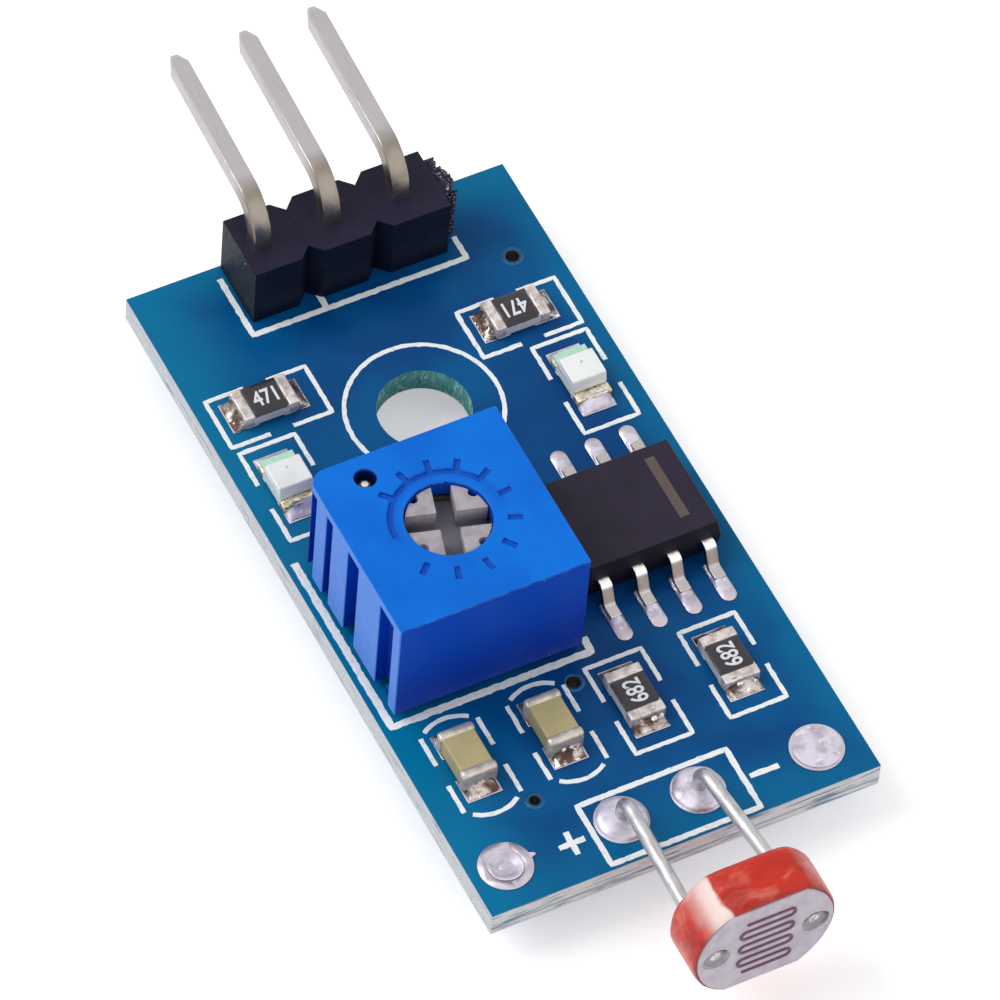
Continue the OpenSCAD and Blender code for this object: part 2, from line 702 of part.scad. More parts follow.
// The two metal ends that wrap round a chip's core
module chip_ends(height, core_w) {
    difference() {
        for (s = [-1, 1]) translate([s * (chip_l - end_l) / 2, 0, 0]) block([end_l, chip_w, height]);
        chip_core(core_w, height);
    }
}

module resistor_core(i) {
    color([0.9, 0.89, 0.88]) at_chip(resistors[i - 1]) chip_core(chip_w, resistor_h);
}

module resistor_ends(i) {
    color([0.82, 0.81, 0.82]) at_chip(resistors[i - 1]) chip_ends(resistor_h, chip_w);
}

module resistor_coat(i) {
    color([0.14, 0.13, 0.16]) at_chip(resistors[i - 1]) translate([0, 0, resistor_h - cap_t])
        block([chip_l - 2 * end_l, chip_w, cap_t]);
}

module capacitor_body(i) {
    color([0.66, 0.6, 0.45]) at_chip(capacitors[i - 1]) chip_core(chip_w - 2 * cap_t, capacitor_h);
}

module capacitor_ends(i) {
    color([0.8, 0.78, 0.74]) at_chip(capacitors[i - 1]) chip_ends(capacitor_h, chip_w - 2 * cap_t);
}

module lamp_base(i) {
    color([0.9, 0.92, 0.88]) at_chip(lamps[i - 1]) chip_core(chip_w, lamp_base_h);
}

module lamp_ends(i) {
    color([0.8, 0.74, 0.55]) at_chip(lamps[i - 1]) chip_ends(lamp_base_h, chip_w);
}

// Clear block on the base, drawn in towards its top
module lamp_lens(i) {
    foot = chip_l - 2 * end_l;
    low = lamp_base_h - cap_t;
    high = lamp_base_h + lamp_lens_h;
    color([0.92, 0.94, 0.9]) at_chip(lamps[i - 1]) rotate(90) bar_x(chip_w)
        polygon([[-foot / 2, low], [foot / 2, low], [foot / 2, lamp_base_h + 0.1], [foot / 2 - 0.08, high],
            [0.08 - foot / 2, high], [-foot / 2, lamp_base_h + 0.1]]);
}

// Light sensor

// Puts an outline in the sensor's upright plane and gives it depth towards +Y from y
module sensor_slab(y, depth) {
    translate([0, y + depth, sensor_z]) rotate([90, 0, 0]) linear_extrude(depth) children();
}

// Round disc with flat top and bottom, drawn in by a margin
module sensor_outline(margin) {
    intersection() {
        circle(d = sensor_w - 2 * margin, $fn = 96);
        square([sensor_w, sensor_h - 2 * margin], center = true);
    }
}

module sensor_ceramic() {
    color([0.78, 0.75, 0.78]) difference() {
        sensor_slab(sensor_y, sensor_ceramic_t) sensor_outline(coat_side_t);
        for (s = [-1, 1]) translate([s * sensor_lead_gap / 2, sensor_y - eps, sensor_z]) rotate([-90, 0, 0])
            cylinder(d = 2 * sensor_lead_d, h = sensor_lead_sink + eps);
        for (i = [1, 2]) sensor_lead(i);
    }
}

// Cup of red resin round and behind the ceramic
module sensor_coat() {
    rim = 0.06;
    color([0.8, 0.22, 0.16]) difference() {
        sensor_slab(sensor_y + rim, sensor_back - sensor_y - rim) sensor_outline(0);
        sensor_slab(sensor_y - 1, sensor_ceramic_t + 1) sensor_outline(coat_side_t);
        for (i = [1, 2]) sensor_lead(i);
    }
}

// Meandering track: level runs joined by half rings, left and right in turn
module meander() {
    r = meander_pitch / 2;
    half = meander_w / 2 - r;
    first = -(meander_runs - 1) / 2 * meander_pitch;
    for (i = [0 : meander_runs - 1])
        translate([-half, first + i * meander_pitch - meander_line / 2]) square([2 * half, meander_line]);
    for (i = [0 : meander_runs - 2]) {
        s = i % 2 == 0 ? 1 : -1;
        translate([s * half, first + (i + 0.5) * meander_pitch]) difference() {
            circle(r + meander_line / 2);
            circle(r - meander_line / 2);
            translate([s > 0 ? -2 * r : 0, -2 * r]) square([2 * r, 4 * r]);
        }
    }
}

module sensor_track() {
    track_depth = 0.04;
    color([0.42, 0.25, 0.35]) sensor_slab(sensor_y - track_depth, track_depth) meander();
}

// Lead from the sensor's face through its back, straight to its pad and bent down into the board
module sensor_lead(i) {
    s = i == 1 ? -1 : 1;
    hole = sensor_holes[i - 1];
    yaw = atan2(s * sensor_lead_gap / 2 - hole[0], hole[1] - sensor_y - sensor_ceramic_t / 2);
    run = (hole[1] - sensor_y - sensor_lead_sink) / cos(yaw) - sensor_bend_r;
    d = sensor_lead_d;
    color([0.8, 0.78, 0.76]) translate([hole[0], hole[1], sensor_z]) rotate(180 + yaw) {
        translate([0, 0, -sensor_z - tail_l]) cylinder(d = d, h = tail_l + sensor_z - sensor_bend_r);
        translate([0, sensor_bend_r, -sensor_bend_r]) rotate([90, 0, -90])
            rotate_extrude(angle = 90) translate([sensor_bend_r, 0]) circle(d = d, $fn = 32);
        translate([0, sensor_bend_r, 0]) rotate([-90, 0, 0]) cylinder(d = d, h = run);
    }
}

// Solder on the sensor's pads: a low dome above the board and a cone below
module sensor_solder() {
    r = sensor_pad_d / 2 - 0.03;
    color([0.8, 0.78, 0.8]) for (i = [1, 2]) difference() {
        translate([sensor_holes[i - 1][0], sensor_hole_y, 0]) {
            solder_plug(sensor_drill, sensor_pad_d, sensor_lead_d, land_z);
            translate([0, 0, land_z]) rotate_extrude() polygon([[0, 0], [r, 0], [r * 0.86, sensor_solder_h * 0.3],
                [r * 0.6, sensor_solder_h * 0.7], [r * 0.35, sensor_solder_h], [0, sensor_solder_h]]);
        }
        sensor_lead(i);
    }
}

// Solder that fills the two spare holes, one dished and one level
module spare_pad_solder() {
    dish = 0.15;
    color([0.8, 0.78, 0.8]) for (i = [0, 1]) translate([spare_pads[i][0], spare_pads[i][1], -pad_t]) difference() {
        cylinder(d = spare_drill, h = board_t + 2 * pad_t);
        if (i == 0) translate([0, 0, board_t + 2 * pad_t - dish]) cylinder(d1 = 0.5, d2 = 1.1, h = dish + eps);
    }
}

pcb();
pads();
legend();
header_housing();
header_pin(1);  // header_pin_1
header_pin(2);  // header_pin_2
header_pin(3);  // header_pin_3
header_solder();
trimmer_case();
trimmer_rotor();
trimmer_wiper();
trimmer_seal();
trimmer_track();
trimmer_substrate();
trimmer_base();
trimmer_pin(1);  // trimmer_pin_1
trimmer_pin(2);  // trimmer_pin_2
trimmer_pin(3);  // trimmer_pin_3
trimmer_solder();
comparator_body();
comparator_lead(1);  // comparator_lead_1
comparator_lead(2);  // comparator_lead_2
comparator_lead(3);  // comparator_lead_3
comparator_lead(4);  // comparator_lead_4
comparator_lead(5);  // comparator_lead_5
comparator_lead(6);  // comparator_lead_6
comparator_lead(7);  // comparator_lead_7
comparator_lead(8);  // comparator_lead_8
resistor_core(1);  // resistor_1_core
resistor_ends(1);  // resistor_1_ends
resistor_coat(1);  // resistor_1_coat
resistor_core(2);  // resistor_2_core
resistor_ends(2);  // resistor_2_ends
resistor_coat(2);  // resistor_2_coat
resistor_core(3);  // resistor_3_core
resistor_ends(3);  // resistor_3_ends
resistor_coat(3);  // resistor_3_coat
resistor_core(4);  // resistor_4_core
resistor_ends(4);  // resistor_4_ends
resistor_coat(4);  // resistor_4_coat
capacitor_body(1);  // capacitor_1_body
capacitor_ends(1);  // capacitor_1_ends
capacitor_body(2);  // capacitor_2_body
capacitor_ends(2);  // capacitor_2_ends
lamp_base(1);  // lamp_1_base
lamp_ends(1);  // lamp_1_ends
lamp_lens(1);  // lamp_1_lens
lamp_base(2);  // lamp_2_base
lamp_ends(2);  // lamp_2_ends
lamp_lens(2);  // lamp_2_lens
sensor_ceramic();
sensor_track();
sensor_coat();
sensor_lead(1);  // sensor_lead_1
sensor_lead(2);  // sensor_lead_2
sensor_solder();
spare_pad_solder();
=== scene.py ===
"""Finishes and fine forms of a light sensor module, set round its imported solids.

Each operator dresses one piece or one group of like pieces, and the panel in the 3D view's sidebar
lists them in the order in which they run. Lengths are in millimetres of the part's own frame and
become metres where a mesh is made. The origin is the mounting hole's axis on the board's underside.
"""
import math
import random

import bmesh
import bpy
from bpy.props import FloatProperty, FloatVectorProperty, IntProperty, PointerProperty, StringProperty
from mathutils import Matrix, Vector, noise


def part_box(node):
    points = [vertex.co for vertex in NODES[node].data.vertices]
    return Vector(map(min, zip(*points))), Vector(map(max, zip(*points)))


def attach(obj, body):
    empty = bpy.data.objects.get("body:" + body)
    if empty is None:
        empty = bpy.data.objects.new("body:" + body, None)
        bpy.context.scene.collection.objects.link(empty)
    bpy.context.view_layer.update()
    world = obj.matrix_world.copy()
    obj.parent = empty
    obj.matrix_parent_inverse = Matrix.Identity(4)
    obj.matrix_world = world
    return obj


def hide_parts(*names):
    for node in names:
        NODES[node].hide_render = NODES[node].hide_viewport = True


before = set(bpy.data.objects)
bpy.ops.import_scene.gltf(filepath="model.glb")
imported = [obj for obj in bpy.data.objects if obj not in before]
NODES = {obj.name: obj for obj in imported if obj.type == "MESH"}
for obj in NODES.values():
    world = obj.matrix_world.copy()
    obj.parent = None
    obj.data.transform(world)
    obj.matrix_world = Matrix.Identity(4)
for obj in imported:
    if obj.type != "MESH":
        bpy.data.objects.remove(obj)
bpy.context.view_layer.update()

bl_info = {
    "name": "Light Sensor Module",
    "version": (1, 0, 0),
    "blender": (4, 5, 0),
    "location": "3D View > Sidebar > Light Sensor",
    "description": "Dresses the solids of a light sensor module in their finishes and fine forms",
    "category": "Object",
}

MM = 0.001


def box_mm(node):
    """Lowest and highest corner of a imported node, in millimetres."""
    low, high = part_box(node)
    return Vector(low) / MM, Vector(high) / MM


def middle(node):
    """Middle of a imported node's box, in millimetres."""
    low, high = box_mm(node)
    return (low + high) / 2


def paint(red, green, blue):
    """A colour given in the 0 to 255 steps of a colour chart, in the linear values that shaders use."""
    def linear(step):
        value = step / 255
        return value / 12.92 if value <= 0.04045 else ((value + 0.055) / 1.055) ** 2.4
    return (linear(red), linear(green), linear(blue))


def colour_setting(name, description, colour):
    return FloatVectorProperty(name=name, description=description, default=colour, subtype="COLOR",
                               size=3, min=0.0, max=1.0)


def length_setting(name, description, millimetres, top=50.0):
    return FloatProperty(name=name, description=description, default=millimetres, min=0.0, max=top)


# Surfaces of the board itself
BOARD_LOW, BOARD_HIGH = box_mm("pcb")
BOARD_TOP = BOARD_HIGH.z
LAND_TOP = box_mm("pads")[1].z
GROUND = box_mm("header_pin_1")[0].z


class StageSettings(bpy.types.PropertyGroup):
    azimuth: FloatProperty(name="Azimuth", description="Turn of the view about the upright axis",
                           default=math.radians(-31.227), subtype="ANGLE")
    elevation: FloatProperty(name="Elevation", description="Height of the view above the board's plane",
                             default=math.radians(53.553), subtype="ANGLE")
    roll: FloatProperty(name="Roll", description="Tilt of the picture about the line of sight",
                        default=math.radians(5.503), subtype="ANGLE")
    distance: FloatProperty(name="Distance", description="Distance from the camera to the aim point",
                            default=0.29426, min=0.05, max=2.0, subtype="DISTANCE", unit="LENGTH")
    aim: FloatVectorProperty(name="Aim", description="Point on the board that the camera looks at",
                             default=(0.0005946, -0.0043499, 0.001), size=3, subtype="TRANSLATION",
                             unit="LENGTH")
    lens: FloatProperty(name="Lens", description="Focal length for a 36 mm wide sensor",
                        default=324.0, min=20.0, max=600.0, unit="CAMERA")
    floor: colour_setting("Floor", "Colour of the floor", paint(243, 243, 244))
    floor_glow: FloatProperty(name="Floor glow", description="Share of white that the camera sees in the floor",
                              default=0.42, min=0.0, max=1.0)
    sky: FloatProperty(name="Sky", description="Strength of the even light from all round",
                       default=0.5, min=0.0, max=2.0)
    key: FloatProperty(name="Key lamp", description="Strength of the lamp from the left and behind",
                       default=1.35, min=0.0, max=20.0)
    fill: FloatProperty(name="Fill lamp", description="Strength of the lamp from the front",
                        default=0.45, min=0.0, max=20.0)


class BoardSettings(bpy.types.PropertyGroup):
    mask: colour_setting("Mask", "Colour of the solder mask", paint(0, 88, 146))
    mask_deep: colour_setting("Deep mask", "Colour of the mask over bare laminate", paint(0, 68, 128))
    mask_pale: colour_setting("Pale mask", "Colour of the mask towards the board's edges", paint(0, 124, 168))
    laminate: colour_setting("Laminate", "Colour of the sawn glass-fibre edge", paint(246, 249, 252))
    bore: colour_setting("Bore", "Colour of the drilled glass fibre in the mounting hole", paint(92, 172, 168))
    tin: colour_setting("Tin", "Colour of the tinned pads", paint(216, 208, 214))
    ink: colour_setting("Ink", "Colour of the printed outlines", paint(250, 253, 253))
    ink_height: length_setting("Ink height", "Thickness of the printed outlines", 0.03, 0.2)
    ink_width: length_setting("Ink width", "Width of the printed outlines", 0.155, 1.0)


class HeaderSettings(bpy.types.PropertyGroup):
    plastic: colour_setting("Plastic", "Colour of the header's body", paint(31, 28, 52))
    plating: colour_setting("Plating", "Colour of the pins", paint(190, 185, 185))
    # Painted shade and painted reflection that darken the pins in their bends.
    bend_shade: colour_setting("Bend shade", "Colour of the pins in their bends", paint(128, 118, 98))
    edge: length_setting("Edge", "Width of the rounding on the body's edges", 0.05, 0.3)
    pin_edge: length_setting("Pin edge", "Width of the rounding on the pins' edges", 0.05, 0.2)
    tear: length_setting("Tear", "Roughness of the torn ends", 0.22, 0.5)


class TrimmerSettings(bpy.types.PropertyGroup):
    case: colour_setting("Case", "Colour of the trimmer's case", paint(0, 118, 230))
    rotor: colour_setting("Rotor", "Colour of the slotted rotor", paint(178, 172, 178))
    edge: length_setting("Edge", "Width of the rounding on the case's edges", 0.035, 0.3)


class ChipSettings(bpy.types.PropertyGroup):
    mould: colour_setting("Mould", "Colour of the comparator's body", paint(44, 37, 54))
    band: colour_setting("Band", "Colour of the bar at the comparator's first end", paint(90, 76, 68))
    lead: colour_setting("Lead", "Colour of the comparator's leads", paint(208, 204, 202))
    glaze: colour_setting("Glaze", "Colour of the resistors' coat", paint(34, 30, 36))
    ceramic: colour_setting("Ceramic", "Colour of the resistors' core", paint(222, 220, 222))
    dielectric: colour_setting("Dielectric", "Colour of the capacitors' body", paint(186, 173, 124))
    end_metal: colour_setting("End metal", "Colour of the chips' ends", paint(232, 222, 218))
    digits_left: StringProperty(name="Left digits", description="Plain number on the first two resistors",
                                default="471")
    digits_front: StringProperty(name="Front digits", description="Plain number on the two front resistors",
                                 default="682")
    digit_height: length_setting("Digit height", "Height of the resistors' digits", 0.63, 2.0)


class SolderSettings(bpy.types.PropertyGroup):
    solder: colour_setting("Solder", "Colour of the solder", paint(220, 215, 228))
    ripple: length_setting("Ripple", "Unevenness of the solder's surface", 0.05, 0.3)


class LampSettings(bpy.types.PropertyGroup):
    resin: colour_setting("Resin", "Colour of the lamps' lens", paint(252, 253, 252))
    stripe: colour_setting("Stripe", "Colour of the stripe beside the lens", paint(148, 222, 192))
    gold: colour_setting("Gold", "Colour of the plated ends", paint(214, 200, 150))


class SensorSettings(bpy.types.PropertyGroup):
    coat: colour_setting("Coat", "Colour of the red resin coat", paint(208, 48, 30))
    coat_pale: colour_setting("Pale coat", "Colour of the coat where it is thin", paint(232, 132, 116))
    face: colour_setting("Face", "Colour of the ceramic face", paint(208, 200, 210))
    film: colour_setting("Film", "Colour of the meandering film", paint(122, 70, 104))
    lead: colour_setting("Lead", "Colour of the two leads", paint(196, 194, 194))
    ripple: length_setting("Ripple", "Unevenness of the dipped coat", 0.05, 0.3)


class ModuleSettings(bpy.types.PropertyGroup):
    stage: PointerProperty(type=StageSettings)
    board: PointerProperty(type=BoardSettings)
    header: PointerProperty(type=HeaderSettings)
    trimmer: PointerProperty(type=TrimmerSettings)
    chips: PointerProperty(type=ChipSettings)
    solder: PointerProperty(type=SolderSettings)
    lamps: PointerProperty(type=LampSettings)
    sensor: PointerProperty(type=SensorSettings)


# Node materials

class Finish:
    """A Principled material. Its textures are laid out in millimetres of the part's frame."""

    def __init__(self, name, colour, roughness, metallic=0.0, **sockets):
        self.material = bpy.data.materials.new(name)
        self.material.use_nodes = True
        self.tree = self.material.node_tree
        self.shader = self.tree.nodes["Principled BSDF"]
        self.normal = None
        self.put("Base Color", colour)
        self.put("Roughness", roughness)
        self.put("Metallic", metallic)
        for socket, value in sockets.items():
            self.put(socket.replace("_", " "), value)
        coordinates = self.tree.nodes.new("ShaderNodeTexCoord")
        self.place = self.vector("SCALE", coordinates.outputs["Object"], scale=1 / MM)
        self.facing = self.tree.nodes.new("ShaderNodeNewGeometry").outputs["Normal"]

    def put(self, socket, value):
        """Gives a shader socket a number, a colour or another node's output."""
        entry = self.shader.inputs[socket]
        if isinstance(value, bpy.types.NodeSocket):
            self.tree.links.new(value, entry)
        elif entry.type == "RGBA":
            entry.default_value = (*value, 1.0)
        else:
            entry.default_value = value

    def fill(self, entry, value):
        if isinstance(value, bpy.types.NodeSocket):
            self.tree.links.new(value, entry)
        elif entry.type == "RGBA":
            entry.default_value = (*value[:3], 1.0)
        else:
            entry.default_value = value

    def vector(self, operation, value, other=None, scale=None):
        node = self.tree.nodes.new("ShaderNodeVectorMath")
        node.operation = operation
        self.fill(node.inputs[0], value)
        if other is not None:
            self.fill(node.inputs[1], other)
        if scale is not None:
            node.inputs["Scale"].default_value = scale
        return node.outputs["Value" if operation in ("LENGTH", "DISTANCE", "DOT_PRODUCT") else "Vector"]

    def sum(self, operation, value, other=0.0, clamp=False):
        node = self.tree.nodes.new("ShaderNodeMath")
        node.operation = operation
        node.use_clamp = clamp
        self.fill(node.inputs[0], value)
        self.fill(node.inputs[1], other)
        return node.outputs[0]

    def axis(self, index, source=None):
        """One of the three numbers of a place or a direction."""
        node = self.tree.nodes.new("ShaderNodeSeparateXYZ")
        self.tree.links.new(source or self.place, node.inputs[0])
        return node.outputs[index]

    def stretched(self, stretch):
        return self.vector("MULTIPLY", self.place, stretch) if stretch else self.place

    def grain(self, size, detail=3.0, rough=0.5, stretch=None, distortion=0.0):
        """Cloudy noise from 0 to 1, whose patches are about as wide as size."""
        node = self.tree.nodes.new("ShaderNodeTexNoise")
        self.tree.links.new(self.stretched(stretch), node.inputs["Vector"])
        node.inputs["Scale"].default_value = 1 / size
        node.inputs["Detail"].default_value = detail
        node.inputs["Roughness"].default_value = rough
        node.inputs["Distortion"].default_value = distortion
        return node.outputs["Fac"]

    def cells(self, size, feature="F1", stretch=None):
        """Distance from the middle of random cells that are about as wide as size."""
        node = self.tree.nodes.new("ShaderNodeTexVoronoi")
        node.feature = feature
        self.tree.links.new(self.stretched(stretch), node.inputs["Vector"])
        node.inputs["Scale"].default_value = 1 / size
        return node.outputs["Distance"]

    def band(self, value, low, high, smooth=True):
        """0 below low and 1 above high, whichever way round they are."""
        node = self.tree.nodes.new("ShaderNodeMapRange")
        node.interpolation_type = "SMOOTHSTEP" if smooth else "LINEAR"
        self.fill(node.inputs["Value"], value)
        flip = low > high
        node.inputs["From Min"].default_value = min(low, high)
        node.inputs["From Max"].default_value = max(low, high)
        node.inputs["To Min"].default_value = 1.0 if flip else 0.0
        node.inputs["To Max"].default_value = 0.0 if flip else 1.0
        return node.outputs["Result"]

    def mix(self, share, first, second, blend="MIX"):
        node = self.tree.nodes.new("ShaderNodeMix")
        node.data_type = "RGBA"
        node.blend_type = blend
        self.fill(node.inputs["Factor"], share)
        self.fill(node.inputs[6], first)
        self.fill(node.inputs[7], second)
        return node.outputs[2]

    def bump(self, height, depth):
        """Adds relief: height from 0 to 1 stands for depth in millimetres."""
        node = self.tree.nodes.new("ShaderNodeBump")
        node.inputs["Distance"].default_value = depth * MM
        self.tree.links.new(height, node.inputs["Height"])
        if self.normal:
            self.tree.links.new(self.normal, node.inputs["Normal"])
        self.normal = node.outputs["Normal"]
        self.put("Normal", self.normal)

    def specks(self, size, spread, share=0.5):
        """Sparse dots: 1 in the dots and 0 between them. Fewer cells hold one as share falls."""
        dot = self.band(self.cells(spread), size / spread * 0.5, size / spread * 0.3)
        chosen = self.band(self.grain(spread * 1.7, detail=1.0), 0.62 - 0.2 * share, 0.64 - 0.2 * share)
        return self.sum("MULTIPLY", dot, chosen)


def settings():
    return bpy.context.scene.light_sensor_module


# Meshes

def new_piece(name, mesh, material, body="board", replaces=(), smooth_angle=35.0):
    """Puts a mesh in millimetres into the scene as a piece that rides on a body."""
    mesh.transform(Matrix.Scale(MM, 4))
    mesh.name = name
    piece = bpy.data.objects.new(name, mesh)
    bpy.context.scene.collection.objects.link(piece)
    mesh.materials.append(material)
    mesh.shade_smooth()
    mesh.set_sharp_from_angle(angle=math.radians(smooth_angle))
    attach(piece, body)
    if replaces:
        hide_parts(*replaces)
    return piece


def mesh_of(shape):
    """A finished bmesh as a mesh, with its faces turned outwards."""
    bmesh.ops.recalc_face_normals(shape, faces=shape.faces)
    mesh = bpy.data.meshes.new("piece")
    shape.to_mesh(mesh)
    shape.free()
    return mesh


def add_prism(shape, outline, low, high):
    """An upright prism over an outline of [x, y] points."""
    bottom = [shape.verts.new((x, y, low)) for x, y in outline]
    top = [shape.verts.new((x, y, high)) for x, y in outline]
    shape.faces.new(bottom[::-1])
    shape.faces.new(top)
    count = len(outline)
    for i in range(count):
        j = (i + 1) % count
        shape.faces.new((bottom[i], bottom[j], top[j], top[i]))
    return bottom + top


def add_rings(shape, rings, closed_ends=True):
    """Skin over rings of points, each ring with as many points as the next."""
    made = [[shape.verts.new(point) for point in ring] for ring in rings]
    count = len(made[0])
    for lower, upper in zip(made, made[1:]):
        for i in range(count):
            j = (i + 1) % count
            shape.faces.new((lower[i], lower[j], upper[j], upper[i]))
    if closed_ends:
        shape.faces.new(made[0][::-1])
        shape.faces.new(made[-1])


def add_lathe(shape, centre, profile, segments=48, wobble=0.0, seed=0.0):
    """A turned form: profile is a list of [radius, height], and wobble makes it uneven."""
    rings = []
    for radius, height in profile:
        ring = []
        for i in range(segments):
            angle = 2 * math.pi * i / segments
            place = Vector((math.cos(angle) * radius, math.sin(angle) * radius, height))
            push = wobble * noise.noise(place * 2.2 + Vector((seed, seed * 1.7, 0.0)))
            place += Vector((math.cos(angle), math.sin(angle), 0.6)) * push
            ring.append(Vector(centre) + place)
        rings.append(ring)
    add_rings(shape, rings)


def bevel_shape(shape, width, limit=35.0, segments=2):
    """Rounds every edge of a bmesh that is sharper than limit."""
    edges = [e for e in shape.edges if e.is_manifold and e.calc_face_angle(0.0) > math.radians(limit)]
    bmesh.ops.bevel(shape, geom=edges, offset=width, segments=segments, profile=0.5, affect="EDGES",
                    clamp_overlap=True)


def soften(node, width, limit=35.0, segments=2, joined=0.0001, clamped=True):
    """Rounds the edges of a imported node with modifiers, which leave its own mesh as it is."""
    piece = NODES[node]
    weld = piece.modifiers.new("Joined corners", "WELD")
    weld.merge_threshold = joined * MM
    flat = piece.modifiers.new("Whole faces", "DECIMATE")
    flat.decimate_type = "DISSOLVE"
    flat.angle_limit = math.radians(1.0)
    edge = piece.modifiers.new("Rounded edges", "BEVEL")
    edge.width = width * MM
    edge.segments = segments
    edge.use_clamp_overlap = clamped
    edge.limit_method = "ANGLE"
    edge.angle_limit = math.radians(limit)
    edge.harden_normals = False
    shade = piece.modifiers.new("Even shading", "WEIGHTED_NORMAL")
    shade.keep_sharp = False
    return piece


def dress(node, material):
    """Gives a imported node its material."""
    piece = NODES[node]
    piece.data.materials.clear()
    piece.data.materials.append(material)
    return piece


# Stage

class LIGHTSENSOR_OT_stage(bpy.types.Operator):
    """Set the floor, the lamps, the world and the camera at the photograph's viewing angle"""
    bl_idname = "light_sensor.stage"
    bl_label = "Stage"

    def execute(self, context):
        stage = settings().stage
        self.place_camera(context, stage)
        self.lay_floor(context, stage)
        self.hang_lamps(context, stage)
        self.light_world(context, stage)
        context.scene.view_settings.view_transform = "Standard"
        return {"FINISHED"}

    def place_camera(self, context, stage):
        camera = bpy.data.cameras.new("camera")
        camera.lens = stage.lens
        camera.sensor_width = 36.0
        camera.clip_start = 0.01
        camera.clip_end = 10.0
        holder = bpy.data.objects.new("camera", camera)
        context.scene.collection.objects.link(holder)
        turn, rise = stage.azimuth, stage.elevation
        back = Vector((math.sin(turn) * math.cos(rise), -math.cos(turn) * math.cos(rise), math.sin(rise)))
        level = Matrix.Rotation(turn, 4, "Z") @ Matrix.Rotation(math.pi / 2 - rise, 4, "X")
        holder.matrix_world = (Matrix.Translation(Vector(stage.aim) + back * stage.distance) @ level
                               @ Matrix.Rotation(stage.roll, 4, "Z"))
        context.scene.camera = holder

    def lay_floor(self, context, stage):
        half = 2.0
        shape = bmesh.new()
        corners = [(-half, -half), (half, -half), (half, half), (-half, half)]
        shape.faces.new([shape.verts.new((x, y, GROUND * MM)) for x, y in corners])
        mesh = bpy.data.meshes.new("floor")
        shape.to_mesh(mesh)
        shape.free()
        floor = bpy.data.objects.new("floor", mesh)
        context.scene.collection.objects.link(floor)
        material = bpy.data.materials.new("floor")
        material.use_nodes = True
        tree = material.node_tree
        tree.nodes.clear()
        output = tree.nodes.new("ShaderNodeOutputMaterial")
        matt = tree.nodes.new("ShaderNodeBsdfDiffuse")
        matt.inputs["Color"].default_value = (*stage.floor, 1.0)
        glow = tree.nodes.new("ShaderNodeEmission")
        glow.inputs["Color"].default_value = (1.0, 1.0, 1.0, 1.0)
        seen = seen_by_eye(tree)
        share = tree.nodes.new("ShaderNodeMath")
        share.operation = "MULTIPLY"
        tree.links.new(seen, share.inputs[0])
        share.inputs[1].default_value = stage.floor_glow
        tree.links.new(share.outputs[0], glow.inputs["Strength"])
        both = tree.nodes.new("ShaderNodeAddShader")
        tree.links.new(matt.outputs[0], both.inputs[0])
        tree.links.new(glow.outputs[0], both.inputs[1])
        tree.links.new(both.outputs[0], output.inputs["Surface"])
        mesh.materials.append(material)

    def hang_lamps(self, context, stage):
        lamps = (("key", stage.key, (-0.62, 0.38, 0.8), 38.0), ("fill", stage.fill, (0.35, -0.8, 0.75), 60.0))
        for name, strength, direction, spread in lamps:
            light = bpy.data.lights.new(name, "SUN")
            light.energy = strength
            light.angle = math.radians(spread)
            holder = bpy.data.objects.new(name, light)
            context.scene.collection.objects.link(holder)
            holder.matrix_world = Vector(direction).to_track_quat("Z", "Y").to_matrix().to_4x4()

    def light_world(self, context, stage):
        world = bpy.data.worlds.new("studio")
        world.use_nodes = True
        tree = world.node_tree
        tree.nodes.clear()
        output = tree.nodes.new("ShaderNodeOutputWorld")
        room = tree.nodes.new("ShaderNodeBackground")
        room.inputs["Color"].default_value = (1.0, 1.0, 1.0, 1.0)
        room.inputs["Strength"].default_value = stage.sky
        white = tree.nodes.new("ShaderNodeBackground")
        white.inputs["Color"].default_value = (1.0, 1.0, 1.0, 1.0)
        white.inputs["Strength"].default_value = 1.0
        choice = tree.nodes.new("ShaderNodeMixShader")
        tree.links.new(seen_by_eye(tree), choice.inputs[0])
        tree.links.new(room.outputs[0], choice.inputs[1])
        tree.links.new(white.outputs[0], choice.inputs[2])
        tree.links.new(choice.outputs[0], output.inputs["Surface"])
        context.scene.world = world


def seen_by_eye(tree):
    """1 for rays from the camera and those that gloss or glass sends on, 0 for rays that only light."""
    rays = tree.nodes.new("ShaderNodeLightPath")
    total = rays.outputs["Is Camera Ray"]
    for name in ("Is Glossy Ray", "Is Transmission Ray"):
        add = tree.nodes.new("ShaderNodeMath")
        add.operation = "ADD"
        add.use_clamp = True
        tree.links.new(total, add.inputs[0])
        tree.links.new(rays.outputs[name], add.inputs[1])
        total = add.outputs[0]
    return total


# Board

